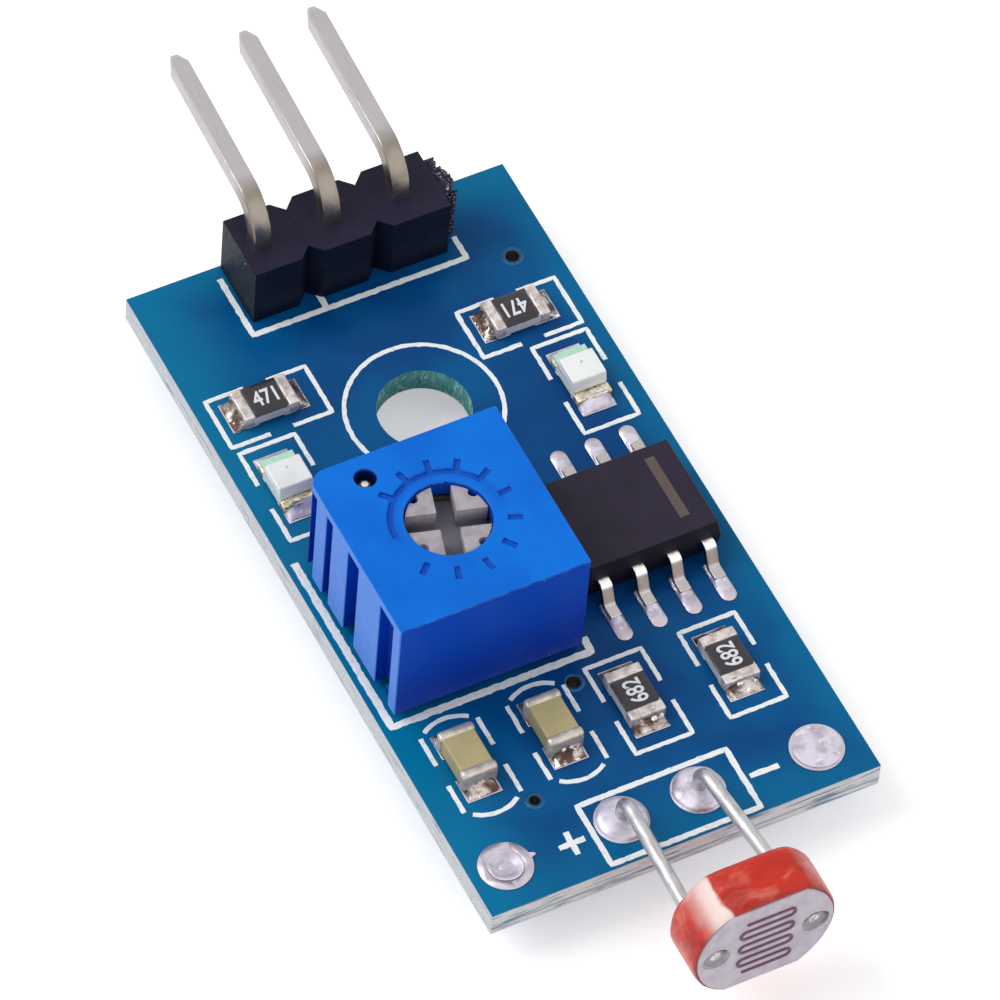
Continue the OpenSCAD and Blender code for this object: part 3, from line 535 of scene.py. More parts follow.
class LIGHTSENSOR_OT_board(bpy.types.Operator):
    """Finish the board: blue mask, sawn laminate edges, fibrous mounting hole, tinned pads and vias"""
    bl_idname = "light_sensor.board"
    bl_label = "Board"

    def execute(self, context):
        board = settings().board
        mask = self.mask_finish(board)
        dress("pcb", mask)
        soften("pcb", 0.03, segments=1)
        dress("pads", self.tin_finish(board))
        soften("pads", 0.02, segments=1)
        self.ring_vias(mask)
        return {"FINISHED"}

    def mask_finish(self, board):
        finish = Finish("board_mask", board.mask, 0.3, Specular_IOR_Level=0.12)
        x, y, z = (finish.axis(i) for i in range(3))
        upright = finish.band(finish.sum("ABSOLUTE", finish.axis(2, finish.facing)), 0.6, 0.4)
        cloud = finish.band(finish.grain(3.4, detail=2.0), 0.35, 0.68)
        colour = finish.mix(cloud, board.mask, board.mask_deep)
        left = finish.band(x, BOARD_LOW.x + 3.2, BOARD_LOW.x + 0.2)
        back = finish.band(y, BOARD_HIGH.y - 2.2, BOARD_HIGH.y)
        front = finish.band(y, BOARD_LOW.y + 2.6, BOARD_LOW.y + 0.2)
        right = finish.band(x, BOARD_HIGH.x - 1.6, BOARD_HIGH.x)
        rim = finish.sum("MAXIMUM", finish.sum("MAXIMUM", left, back),
                         finish.sum("MULTIPLY", finish.sum("MAXIMUM", front, right), 0.6))
        colour = finish.mix(finish.sum("MULTIPLY", rim, 0.75), colour, board.mask_pale)
        dust = finish.specks(0.09, 1.3, 0.2)
        colour = finish.mix(finish.sum("MULTIPLY", dust, 0.45), colour, paint(120, 180, 210))
        streaks = finish.grain(0.09, detail=4.0, stretch=(1.0, 1.0, 5.0))
        fibre = finish.grain(0.5, detail=5.0, stretch=(0.35, 0.35, 4.0))
        sawn = finish.mix(finish.band(streaks, 0.35, 0.7), board.laminate, paint(200, 208, 216))
        sawn = finish.mix(finish.sum("MULTIPLY", finish.band(fibre, 0.56, 0.7), 0.8), sawn, paint(140, 160, 176))
        ahead = finish.band(finish.axis(1, finish.facing), -0.6, -0.9)
        pale = finish.mix(finish.band(fibre, 0.5, 0.66), paint(252, 254, 255), paint(132, 162, 190))
        layer = finish.sum("ADD", z, finish.sum("MULTIPLY", finish.grain(0.8, detail=3.0), 0.12))
        seam = finish.sum("MULTIPLY", finish.band(layer, 0.3, 0.36), finish.band(layer, 0.46, 0.4))
        pale = finish.mix(finish.sum("MULTIPLY", seam, 0.6), pale, paint(92, 122, 158))
        sawn = finish.mix(finish.sum("MULTIPLY", ahead, 0.85), sawn, pale)
        skins = finish.sum("MAXIMUM", finish.band(z, BOARD_TOP - 0.05, BOARD_TOP - 0.02),
                           finish.band(z, 0.05, 0.02))
        sawn = finish.mix(finish.sum("MULTIPLY", skins, 0.7), sawn, paint(70, 120, 150))
        hair = finish.band(finish.grain(0.16, detail=4.0, stretch=(1.0, 1.0, 0.35), distortion=1.2), 0.48, 0.7)
        drilled = finish.mix(hair, board.bore, paint(206, 228, 222))
        drilled = finish.mix(finish.band(finish.grain(0.4), 0.55, 0.8), drilled, paint(44, 110, 118))
        near = finish.band(finish.vector("LENGTH", finish.vector("MULTIPLY", finish.place, (1.0, 1.0, 0.0))),
                           2.2, 2.0, smooth=False)
        sawn = finish.mix(near, sawn, drilled)
        finish.put("Base Color", finish.mix(upright, colour, sawn))
        rough = finish.sum("ADD", finish.sum("MULTIPLY", upright, 0.4),
                           finish.sum("ADD", finish.sum("MULTIPLY", finish.grain(0.7), 0.14), 0.26))
        finish.put("Roughness", rough)
        finish.bump(finish.grain(0.35, detail=2.0), 0.006)
        finish.bump(finish.sum("MULTIPLY", upright, streaks), 0.05)
        return finish.material

    def tin_finish(self, board):
        finish = Finish("pad_metal", board.tin, 0.34, metallic=1.0)
        cloud = finish.grain(0.5, detail=4.0)
        finish.put("Base Color", finish.mix(cloud, board.tin, paint(176, 166, 178)))
        finish.put("Roughness", finish.sum("ADD", finish.sum("MULTIPLY", cloud, 0.3), 0.25))
        finish.bump(finish.grain(0.22, detail=3.0), 0.02)
        return finish.material

    def ring_vias(self, mask):
        """A low rim of mask-covered copper round each open via."""
        shape = bmesh.new()
        lining = bmesh.new()
        for x, y, radius in ((5.52, 4.49, 0.25), (-3.76, -15.43, 0.2), (-0.54, -11.84, 0.25)):
            profile = [(radius, -0.01), (radius, 0.015), (radius + 0.03, 0.028), (radius + 0.08, 0.024),
                       (radius + 0.13, 0.0), (radius + 0.13, -0.01)]
            add_torus(shape, (x, y, BOARD_TOP), profile)
            add_torus(lining, (x, y, 0.0), [(radius + 0.005, 0.01), (radius - 0.02, 0.01), (radius - 0.03, BOARD_TOP / 2),
                                            (radius - 0.02, BOARD_TOP - 0.01), (radius + 0.005, BOARD_TOP - 0.01)])
        finish = Finish("via_rim", paint(60, 128, 150), 0.3, Specular_IOR_Level=0.3)
        lit = finish.band(finish.axis(1, finish.facing), 0.05, -0.25)
        finish.put("Base Color", finish.mix(lit, paint(2, 78, 134), paint(24, 104, 140)))
        finish.bump(finish.grain(0.1), 0.01)
        new_piece("via_rims", mesh_of(shape), finish.material)
        # Painted shade: the barrels are coloured dark brown to near black for the shade down the holes.
        barrel = Finish("via_barrel", paint(58, 44, 38), 0.5)
        barrel.put("Base Color", barrel.mix(barrel.grain(0.15), paint(66, 50, 40), paint(26, 24, 32)))
        barrel.bump(barrel.grain(0.1), 0.02)
        new_piece("via_barrels", mesh_of(lining), barrel.material)


def add_torus(shape, centre, profile, segments=40):
    """A ring turned from a closed profile of [radius, height]."""
    rings = []
    for i in range(segments):
        angle = 2 * math.pi * i / segments
        rings.append([shape.verts.new((centre[0] + math.cos(angle) * r, centre[1] + math.sin(angle) * r,
                                       centre[2] + h)) for r, h in profile])
    count = len(profile)
    for i in range(segments):
        for j in range(count):
            k = (j + 1) % count
            shape.faces.new((rings[i][j], rings[(i + 1) % segments][j], rings[(i + 1) % segments][k], rings[i][k]))


# Printed outlines

class LIGHTSENSOR_OT_print(bpy.types.Operator):
    """Print the white outlines round the parts, with slightly ragged edges, and the two plain signs"""
    bl_idname = "light_sensor.outlines"
    bl_label = "Printed outlines"

    def execute(self, context):
        board = settings().board
        self.width = board.ink_width
        self.height = board.ink_height
        self.shift = (0.12, -0.09)
        self.shape = bmesh.new()
        self.ring()
        self.header_outline()
        self.trimmer_outline()
        for i in (1, 2):
            self.chip_outline(middle(f"resistor_{i}_core"), 0, 3.65, 2.05, 0.84)
        for i in (3, 4):
            self.chip_outline(middle(f"resistor_{i}_core"), 90, 3.65, 2.05, 0.84)
        for i in (1, 2):
            self.chip_outline(middle(f"lamp_{i}_base"), 90, 3.85, 2.02, 1.03)
            self.capacitor_outline(middle(f"capacitor_{i}_body"))
        self.sensor_outline()
        finish = Finish("legend_ink", board.ink, 0.55)
        finish.put("Base Color", finish.mix(finish.band(finish.grain(0.25), 0.5, 0.8), board.ink, paint(214, 226, 232)))
        finish.bump(finish.grain(0.08), 0.008)
        new_piece("printed_outlines", mesh_of(self.shape), finish.material, replaces=("legend",))
        return {"FINISHED"}

    def stroke(self, points, width=None, closed=False):
        """A printed line along points, whose edges wander a little."""
        half = (width or self.width) / 2
        path = resampled(points, 0.12, closed)
        rings = []
        count = len(path)
        for i, point in enumerate(path):
            before = path[i - 1] if i or closed else point
            after = path[(i + 1) % count] if i < count - 1 or closed else point
            along = (after - before).normalized()
            across = Vector((-along.y, along.x))
            left = half * (1 + 0.34 * noise.noise(Vector((point.x * 5.3, point.y * 5.3, 1.0))))
            right = half * (1 + 0.34 * noise.noise(Vector((point.x * 5.3, point.y * 5.3, 7.0))))
            a = point + across * left
            b = point - across * right
            rings.append([(a.x, a.y, BOARD_TOP - 0.005), (a.x, a.y, BOARD_TOP + self.height * 0.8),
                          (point.x, point.y, BOARD_TOP + self.height),
                          (b.x, b.y, BOARD_TOP + self.height * 0.8), (b.x, b.y, BOARD_TOP - 0.005)])
        if closed:
            rings.append(rings[0])
        add_rings(self.shape, rings, closed_ends=not closed)

    def ring(self):
        radius = 2.65
        self.stroke([(math.cos(a) * radius, math.sin(a) * radius) for a in
                     (math.radians(step * 5) for step in range(72))], closed=True)

    def header_outline(self):
        low, high = box_mm("header_housing")
        pitch = middle("header_pin_2").x - middle("header_pin_1").x
        left = low.x - 0.12
        right = middle("header_pin_3").x + pitch / 2 + 0.47
        front = low.y - 0.48
        tick = middle("header_pin_1").x + pitch / 2 + 0.37
        self.stroke([(left, high.y - 0.42), (left, front), (right, front), (right, front + 0.96)], 0.2)
        self.stroke([(tick, front), (tick, front + 0.7)], 0.22)

    def trimmer_outline(self):
        low, high = box_mm("trimmer_case")
        left, right, front = low.x - 0.16, high.x + 0.25, low.y - 0.2
        self.stroke([(left, high.y + 0.12), (left, front), (right, front), (right, front + 0.6)], 0.26)

    def chip_outline(self, centre, turn, length, width, gap):
        """A box round a chip with a gap in the middle of each long side."""
        x, y = length / 2, width / 2
        for side in (1, -1):
            for end in (1, -1):
                self.placed_stroke(centre, turn, [(end * gap / 2, side * y), (end * x, side * y), (end * x, 0)])

    def capacitor_outline(self, centre):
        """Bowed ends and broken sides, as the photograph shows round the two capacitors."""
        half, bow, chord = 1.02, 1.39, 0.8
        reach = math.degrees(math.asin(chord / bow))
        for end in (1, -1):
            for side in (1, -1):
                self.placed_stroke(centre, 90, [(end * 0.43, side * half), (end * 1.57, side * half)])
            arc = [math.radians(-reach + 2 * reach * step / 12) for step in range(13)]
            self.placed_stroke(centre, 90, [(end * (0.6 + bow * math.cos(a)), bow * math.sin(a)) for a in arc])

    def placed_stroke(self, centre, turn, points):
        spin = Matrix.Rotation(math.radians(turn), 2)
        middle_of_print = Vector(centre[:2]) + Vector(self.shift)
        self.stroke([tuple(spin @ Vector(p) + middle_of_print) for p in points])

    def sensor_outline(self):
        low, high = box_mm("sensor_solder")
        x, y = (low.x + high.x) / 2 + 0.24, (low.y + high.y) / 2 - 0.17
        a, b = 2.685, 1.225
        self.stroke([(x - a, y - b), (x + a, y - b), (x + a, y + b), (x - a, y + b)], 0.19, closed=True)
        arm = 0.46
        plus = Vector((-3.434, -17.41))
        minus = Vector((3.47, -17.48))
        self.stroke([plus - Vector((arm, 0)), plus + Vector((arm, 0))], 0.2)
        self.stroke([plus - Vector((0, arm)), plus + Vector((0, arm))], 0.2)
        self.stroke([minus - Vector((arm + 0.06, 0)), minus + Vector((arm + 0.06, 0))], 0.2)


def resampled(points, step, closed=False):
    """Points at an even spacing along a line through points, keeping each of them."""
    corners = [Vector(p) for p in points]
    if closed:
        corners.append(corners[0])
    path = []
    for start, end in zip(corners, corners[1:]):
        pieces = max(1, round((end - start).length / step))
        path += [start.lerp(end, i / pieces) for i in range(pieces)]
    return path if closed else path + [corners[-1]]


# Pin header

class LIGHTSENSOR_OT_header(bpy.types.Operator):
    """Build the header's plastic body of three snapped sections and finish its bent pins"""
    bl_idname = "light_sensor.header"
    bl_label = "Pin header"

    def execute(self, context):
        header = settings().header
        self.build_body(header)
        plating = self.plating_finish(header)
        for i in (1, 2, 3):
            dress(f"header_pin_{i}", plating)
            soften(f"header_pin_{i}", header.pin_edge)
        return {"FINISHED"}

    def build_body(self, header):
        low, high = box_mm("header_housing")
        pins = [middle(f"header_pin_{i}").x for i in (1, 2, 3)]
        pitch = pins[1] - pins[0]
        y = (low.y + high.y) / 2
        depth = (high.y - low.y) / 2
        cut = 0.42
        w = pitch / 2 - 0.004
        shape = bmesh.new()
        for i, x in enumerate(pins):
            left = [(x - w, y + depth - cut), (x - w, y + cut - depth)]
            right = [(x + w, y + cut - depth), (x + w, y + depth - cut)]
            outline = [*(left if i else []), (x + cut - w, y - depth), (x + (w if i == 2 else w - cut), y - depth),
                       *(right if i < 2 else []), (x + (w if i == 2 else w - cut), y + depth), (x + cut - w, y + depth)]
            add_prism(shape, outline, low.z, high.z)
        bevel_shape(shape, header.edge)
        right_end = pins[2] + pitch / 2
        left_end = pins[0] - pitch / 2 + cut
        self.add_tear(shape, right_end, y, depth - cut, low.z + 0.3, high.z - 0.02, high.x, header.tear)
        new_piece("header_body", mesh_of(shape), self.plastic_finish(header, left_end, right_end),
                  replaces=("header_housing",), smooth_angle=28.0)

    def add_tear(self, shape, x, y, half, low, high, reach, rough):
        """A ragged end where the strip was snapped: a lump of fine folds that thins out."""
        across, up = 22, 20
        sign = 1 if reach > x else -1
        rings = []
        for i in range(up + 1):
            z = low + (high - low) * i / up
            ring = []
            for j in range(across + 1):
                t = -1 + 2 * j / across
                place = Vector((x * 1.9, t * half * 2.6, z * 2.6))
                fold = noise.fractal(place, 0.7, 2.3, 5) * 1.5
                bulge = abs(reach - x) * max(0.2, 0.8 + 0.5 * fold) * (1 - 0.25 * t * t)
                ring.append((x + sign * min(abs(reach - x), bulge), y + t * half + rough * 0.8 * fold,
                             min(high, z + rough * 0.7 * noise.noise(place * 2.6))))
            ring.append((x - sign * 0.1, y + half, z))
            ring.append((x - sign * 0.1, y - half, z))
            rings.append(ring)
        add_rings(shape, rings)

    def plastic_finish(self, header, left, right):
        finish = Finish("header_plastic", header.plastic, 0.42, Specular_IOR_Level=0.18)
        fine = finish.grain(0.12, detail=4.0)
        x = finish.axis(0)
        snapped = finish.band(x, right + 0.02, right + 0.1)
        torn = finish.sum("MAXIMUM", snapped, finish.band(x, left + 0.06, left + 0.02))
        scuffed = finish.sum("MAXIMUM", torn, finish.sum("MULTIPLY", finish.band(x, left + 0.5, left + 0.1), 0.5))
        colour = finish.mix(finish.band(fine, 0.4, 0.7), header.plastic, paint(28, 24, 44))
        # Painted shade: the faces that do not face up are darker than the top.
        upward = finish.band(finish.axis(2, finish.facing), 0.4, 0.8)
        colour = finish.mix(upward, paint(10, 16, 36), colour)
        glints = finish.band(finish.grain(0.1, detail=5.0, rough=0.7), 0.55, 0.62)
        colour = finish.mix(finish.sum("MULTIPLY", glints, snapped), colour, paint(196, 172, 200))
        dust = finish.specks(0.1, 0.55, 0.5)
        colour = finish.mix(finish.sum("MULTIPLY", dust, scuffed), colour, paint(214, 214, 222))
        colour = finish.mix(finish.sum("MULTIPLY", finish.specks(0.07, 1.1, 0.35), 0.7), colour, paint(190, 190, 204))
        finish.put("Base Color", colour)
        finish.put("Roughness", finish.sum("ADD", finish.sum("MULTIPLY", fine, 0.25), 0.32))
        finish.bump(finish.grain(0.5, detail=4.0), 0.03)
        finish.bump(finish.sum("MULTIPLY", scuffed, finish.grain(0.16, detail=5.0, rough=0.7)), 0.12)
        return finish.material

    def plating_finish(self, header):
        finish = Finish("pin_plating", header.plating, 0.3, metallic=1.0)
        low, high = box_mm("header_pin_2")
        y, z = finish.axis(1), finish.axis(2)
        # Painted shade and painted reflection: the pins are darker in their bends.
        bend = finish.sum("MULTIPLY", finish.band(y, low.y + 2.0, low.y + 1.0), finish.band(z, high.z - 1.9, high.z - 0.9))
        cloud = finish.grain(0.8, detail=3.0)
        streak = finish.grain(0.1, detail=3.0, stretch=(1.0, 0.12, 0.4))
        colour = finish.mix(finish.sum("MULTIPLY", bend, 0.9), header.plating, header.bend_shade)
        colour = finish.mix(finish.sum("MULTIPLY", cloud, 0.35), colour, paint(168, 160, 168))
        colour = finish.mix(finish.sum("MULTIPLY", finish.band(streak, 0.55, 0.75), 0.4), colour, paint(150, 146, 146))
        finish.put("Base Color", colour)
        finish.put("Roughness", finish.sum("ADD", finish.sum("MULTIPLY", streak, 0.24), 0.2))
        finish.bump(streak, 0.012)
        return finish.material


# Trimmer

class LIGHTSENSOR_OT_trimmer(bpy.types.Operator):
    """Finish the trimmer: moulded blue case, slotted rotor, and the parts inside and under it"""
    bl_idname = "light_sensor.trimmer"
    bl_label = "Trimmer"

    def execute(self, context):
        trimmer = settings().trimmer
        dress("trimmer_case", self.case_finish(trimmer))
        soften("trimmer_case", trimmer.edge, limit=40.0, joined=0.02, clamped=False)
        dress("trimmer_rotor", self.rotor_finish(trimmer))
        soften("trimmer_rotor", 0.035)
        inner = (("trimmer_wiper", "spring_alloy", paint(206, 168, 96), 0.3, 1.0),
                 ("trimmer_seal", "seal_rubber", paint(34, 34, 36), 0.6, 0.0),
                 ("trimmer_track", "track_film", paint(52, 52, 56), 0.5, 0.0),
                 ("trimmer_substrate", "trimmer_ceramic", paint(228, 224, 210), 0.6, 0.0),
                 ("trimmer_base", "potting_resin", paint(146, 132, 108), 0.45, 0.0))
        for node, name, colour, rough, metallic in inner:
            finish = Finish(name, colour, rough, metallic)
            finish.put("Base Color", finish.mix(finish.grain(0.5), colour, tuple(0.8 * c for c in colour)))
            finish.bump(finish.grain(0.15), 0.02)
            dress(node, finish.material)
        pin = Finish("terminal_wire", paint(204, 200, 194), 0.3, 1.0)
        pin.put("Base Color", pin.mix(pin.grain(0.3), paint(214, 210, 204), paint(168, 160, 150)))
        pin.bump(pin.grain(0.15), 0.02)
        self.tip_the_first_terminal()
        for i in (1, 2, 3):
            dress(f"trimmer_pin_{i}", pin.material)
            soften(f"trimmer_pin_{i}", 0.06)
        return {"FINISHED"}

    def tip_the_first_terminal(self):
        """The bright round end of the first terminal, which shows in the case's small bore, on a dark disc of painted
        shade.
        """
        low, high = box_mm("trimmer_pin_1")
        centre = (low + high) / 2
        shape = bmesh.new()
        add_lathe(shape, (centre.x, centre.y, high.z), [(0.25, -0.05), (0.25, 0.01), (0.2, 0.05), (0.02, 0.05)])
        # Painted shade: a dark disc under the tip stands for the shade in the bore.
        dull = Finish("terminal_shade", paint(52, 36, 44), 0.5)
        dull.put("Base Color", dull.mix(dull.grain(0.1), paint(60, 42, 50), paint(20, 22, 50)))
        dull.bump(dull.grain(0.1), 0.02)
        new_piece("terminal_shade_ring", mesh_of(shape), dull.material)
        shape = bmesh.new()
        add_lathe(shape, (centre.x - 0.03, centre.y - 0.04, high.z), [(0.17, 0.03), (0.16, 0.12), (0.11, 0.18), (0.02, 0.2)],
                  wobble=0.03, seed=2.0)
        bright = Finish("terminal_tip", paint(244, 236, 232), 0.35, metallic=0.5)
        bright.put("Base Color", bright.mix(bright.grain(0.12), paint(255, 250, 244), paint(214, 196, 190)))
        bright.bump(bright.grain(0.1), 0.02)
        new_piece("terminal_tip", mesh_of(shape), bright.material)

    def case_finish(self, trimmer):
        finish = Finish("trimmer_plastic", trimmer.case, 0.4, Specular_IOR_Level=0.16)
        low, high = box_mm("trimmer_case")
        fine = finish.grain(0.3, detail=4.0)
        colour = finish.mix(finish.band(finish.grain(2.2, detail=2.0), 0.35, 0.7), trimmer.case, paint(0, 106, 218))
        upward = finish.band(finish.axis(2, finish.facing), 0.3, 0.75)
        # Painted shade: the sides are darker than the top, and darker still towards the bottom.
        flank = finish.mix(finish.band(finish.axis(2), high.z - 0.9, low.z + 0.6), paint(0, 74, 196), paint(0, 54, 168))
        # Painted light: the outer faces at the case's left end, towards the key lamp, are paler.
        outer = finish.band(finish.axis(0), low.x + 0.06, low.x + 0.02)
        flank = finish.mix(finish.sum("MULTIPLY", outer, 0.62), flank, paint(92, 158, 250))
        colour = finish.mix(upward, flank, colour)
        # Painted highlight: a broken pale line along the top edge of the sides.
        crest = finish.sum("MULTIPLY", finish.band(finish.axis(2), high.z - 0.12, high.z - 0.03),
                           finish.sum("SUBTRACT", 1.0, upward))
        colour = finish.mix(finish.sum("MULTIPLY", finish.sum("MULTIPLY", crest, finish.band(fine, 0.35, 0.6)), 0.45),
                            colour, paint(110, 160, 238))
        # Painted shade: upward faces sunk below the top are darker.
        cut_in = finish.band(finish.axis(2), high.z - 0.06, high.z - 0.1)
        colour = finish.mix(finish.sum("MULTIPLY", finish.sum("MULTIPLY", cut_in, upward), 0.5), colour, paint(0, 60, 160))
        # Painted shade: a darker ring round the rotor's window on the top, strongest towards the back.
        centre = middle("trimmer_rotor")
        spot = finish.vector("SUBTRACT", finish.place, (centre.x, centre.y, 0.0))
        radius = finish.vector("LENGTH", finish.vector("MULTIPLY", spot, (1.0, 1.0, 0.0)))
        ring = finish.sum("MULTIPLY", finish.band(radius, 1.55, 1.75), finish.band(radius, 2.1, 1.9))
        ring = finish.sum("MULTIPLY", finish.sum("MULTIPLY", ring, upward),
                          finish.band(finish.axis(1, spot), -0.7, 0.3))
        colour = finish.mix(finish.sum("MULTIPLY", ring, 0.5), colour, paint(0, 92, 204))
        # Painted shade: dark inside the small bore over the first terminal.
        vent = middle("trimmer_pin_1")
        bore = finish.vector("LENGTH", finish.vector("MULTIPLY", finish.vector(
            "SUBTRACT", finish.place, (vent.x, vent.y, 0.0)), (1.0, 1.0, 0.0)))
        dark = finish.sum("MULTIPLY", finish.band(bore, 0.42, 0.39), finish.band(finish.axis(2), high.z - 0.02, high.z - 0.2))
        colour = finish.mix(dark, colour, paint(4, 30, 84))
        dust = finish.specks(0.085, 0.75, 0.35)
        colour = finish.mix(finish.sum("MULTIPLY", dust, 0.5), colour, paint(150, 190, 240))
        finish.put("Base Color", colour)
        finish.put("Roughness", finish.sum("ADD", finish.sum("MULTIPLY", fine, 0.22), 0.3))
        finish.bump(finish.grain(0.6, detail=3.0), 0.02)
        finish.bump(fine, 0.01)
        return finish.material

    def rotor_finish(self, trimmer):
        finish = Finish("rotor_plastic", trimmer.rotor, 0.5)
        low, high = box_mm("trimmer_rotor")
        fine = finish.grain(0.35, detail=4.0)
        # Painted shade: the rotor is darker deeper down in its slot.
        deep = finish.band(finish.axis(2), high.z - 0.1, high.z - 0.7)
        colour = finish.mix(finish.band(fine, 0.35, 0.7), trimmer.rotor, paint(158, 148, 158))
        colour = finish.mix(finish.sum("MULTIPLY", deep, 0.85), colour, paint(98, 96, 106))
        finish.put("Base Color", colour)
        finish.bump(fine, 0.02)
        return finish.material


# Comparator

class LIGHTSENSOR_OT_comparator(bpy.types.Operator):
    """Finish the comparator: matt moulded body with a plain bar, and tinned gull-wing leads"""
    bl_idname = "light_sensor.comparator"
    bl_label = "Comparator"

    def execute(self, context):
        chips = settings().chips
        finish = Finish("chip_mould", chips.mould, 0.55, Specular_IOR_Level=0.2)
        fine = finish.grain(0.09, detail=4.0)
        top = finish.mix(finish.band(finish.grain(1.1), 0.3, 0.75), chips.mould, paint(36, 30, 46))
        # Painted shade: the faces that do not face up are darker than the top.
        upward = finish.band(finish.axis(2, finish.facing), 0.5, 0.85)
        finish.put("Base Color", finish.mix(upward, paint(16, 15, 28), top))
        finish.put("Roughness", finish.sum("ADD", finish.sum("MULTIPLY", fine, 0.2), 0.45))
        finish.bump(fine, 0.012)
        dress("comparator_body", finish.material)
        soften("comparator_body", 0.045, limit=20.0)
        metal = self.lead_finish(chips)
        for i in range(1, 9):
            dress(f"comparator_lead_{i}", metal)
            soften(f"comparator_lead_{i}", 0.03)
        self.print_bar(chips)
        return {"FINISHED"}

    def lead_finish(self, chips):
        finish = Finish("chip_metal", chips.lead, 0.28, metallic=1.0)
        low, high = box_mm("comparator_lead_1")
        z = finish.axis(2)
        warm = finish.sum("MULTIPLY", finish.band(z, low.z + 0.12, low.z + 0.35), finish.band(z, high.z - 0.04, high.z - 0.2))
        cloud = finish.grain(0.25, detail=3.0)
        colour = finish.mix(finish.sum("MULTIPLY", warm, 0.85), chips.lead, paint(104, 86, 78))
        colour = finish.mix(finish.sum("MULTIPLY", cloud, 0.3), colour, paint(166, 160, 162))
        # Painted highlight: the leads' shoulders, just under the body, are near white.
        shoulder = finish.band(z, high.z - 0.12, high.z - 0.04)
        colour = finish.mix(shoulder, colour, paint(250, 247, 244))
        finish.put("Base Color", colour)
        finish.put("Roughness", finish.sum("ADD", finish.sum("MULTIPLY", cloud, 0.25), 0.16))
        finish.bump(cloud, 0.02)
        return finish.material

    def print_bar(self, chips):
        """The plain bar that marks the body's first end."""
        low, high = box_mm("comparator_body")
        shape = bmesh.new()
        x0, x1 = high.x - 1.19, high.x - 0.84
        y0, y1 = low.y + 0.74, high.y - 0.57
        add_prism(shape, [(x0, y0), (x1, y0), (x1, y1), (x0, y1)], high.z - 0.02, high.z + 0.006)
        finish = Finish("bar_ink", chips.band, 0.5)
        faded = finish.band(finish.grain(0.05, detail=4.0), 0.35, 0.8)
        finish.put("Base Color", finish.mix(finish.sum("MULTIPLY", faded, 0.5), chips.band, chips.mould))
        finish.bump(finish.grain(0.05), 0.004)
        new_piece("comparator_bar", mesh_of(shape), finish.material)


# Small chips

class LIGHTSENSOR_OT_resistors(bpy.types.Operator):
    """Finish the four resistors: ceramic core, tinned ends, black glaze and plain digits"""
    bl_idname = "light_sensor.resistors"
    bl_label = "Resistors"

    def execute(self, context):
        chips = settings().chips
        core = self.ceramic_finish(chips)
        metal = end_finish("resistor_end_metal", chips.end_metal)
        ink = Finish("digit_ink", paint(242, 242, 244), 0.5)
        ink.put("Base Color", ink.mix(ink.grain(0.1), paint(250, 250, 250), paint(222, 224, 230)))
        ink.bump(ink.grain(0.05), 0.004)
        glaze = self.glaze_finish(chips)
        for i in range(1, 5):
            dress(f"resistor_{i}_core", core)
            build_ends(f"resistor_{i}", metal, 0.06)
            self.build_coat(i, glaze)
            self.print_digits(i, ink.material, chips)
        return {"FINISHED"}

    def ceramic_finish(self, chips):
        finish = Finish("white_ceramic", chips.ceramic, 0.5)
        finish.put("Base Color", finish.mix(finish.grain(0.3), chips.ceramic, paint(190, 190, 198)))
        finish.bump(finish.grain(0.12), 0.02)
        return finish.material

    def glaze_finish(self, chips):
        finish = Finish("resistor_glaze", chips.glaze, 0.25)
        finish.put("Base Color", finish.mix(finish.grain(0.4), chips.glaze, paint(52, 46, 54)))
        finish.bump(finish.grain(0.5, detail=1.0), 0.02)
        return finish.material

    def build_coat(self, i, material):
        """A glassy coat with a softly domed top and uneven edges, on the core's top."""
        low, high = box_mm(f"resistor_{i}_coat")
        along = 1 if high.y - low.y > high.x - low.x else 0
        steps = 14
        base = low.z - 0.01
        shape = bmesh.new()
        grid = []
        for u in range(steps + 1):
            row = []
            for v in range(steps + 1):
                s, t = -1 + 2 * u / steps, -1 + 2 * v / steps
                x = (low.x + high.x) / 2 + s * (high.x - low.x) / 2
                y = (low.y + high.y) / 2 + t * (high.y - low.y) / 2
                edge = max(abs(s), abs(t))
                lift = (high.z - low.z) * (1 - edge ** 8) + 0.01
                wander = 0.02 * noise.noise(Vector((x * 3, y * 3, i)))
                row.append(shape.verts.new((x + (wander if along else 0), y + (0 if along else wander), base + lift)))
            grid.append(row)
        for u in range(steps):
            for v in range(steps):
                shape.faces.new((grid[u][v], grid[u + 1][v], grid[u + 1][v + 1], grid[u][v + 1]))
        close_skirt(shape, low.z - 0.03)
        new_piece(f"resistor_{i}_glaze", mesh_of(shape), material, replaces=(f"resistor_{i}_coat",))

    def print_digits(self, i, ink, chips):
        low, high = box_mm(f"resistor_{i}_coat")
        centre = (low + high) / 2
        turn = {1: 0.0, 2: 180.0, 3: 90.0, 4: 90.0}[i]
        text = chips.digits_left if i <= 2 else chips.digits_front
        shape = bmesh.new()
        mesh = digits_mesh(text, chips.digit_height)
        shape.from_mesh(mesh)
        bpy.data.meshes.remove(mesh)
        bmesh.ops.transform(shape, matrix=Matrix.Translation((centre.x, centre.y, high.z + 0.001))
                            @ Matrix.Rotation(math.radians(turn), 4, "Z"), verts=shape.verts)
        new_piece(f"resistor_{i}_digits", mesh_of(shape), ink)


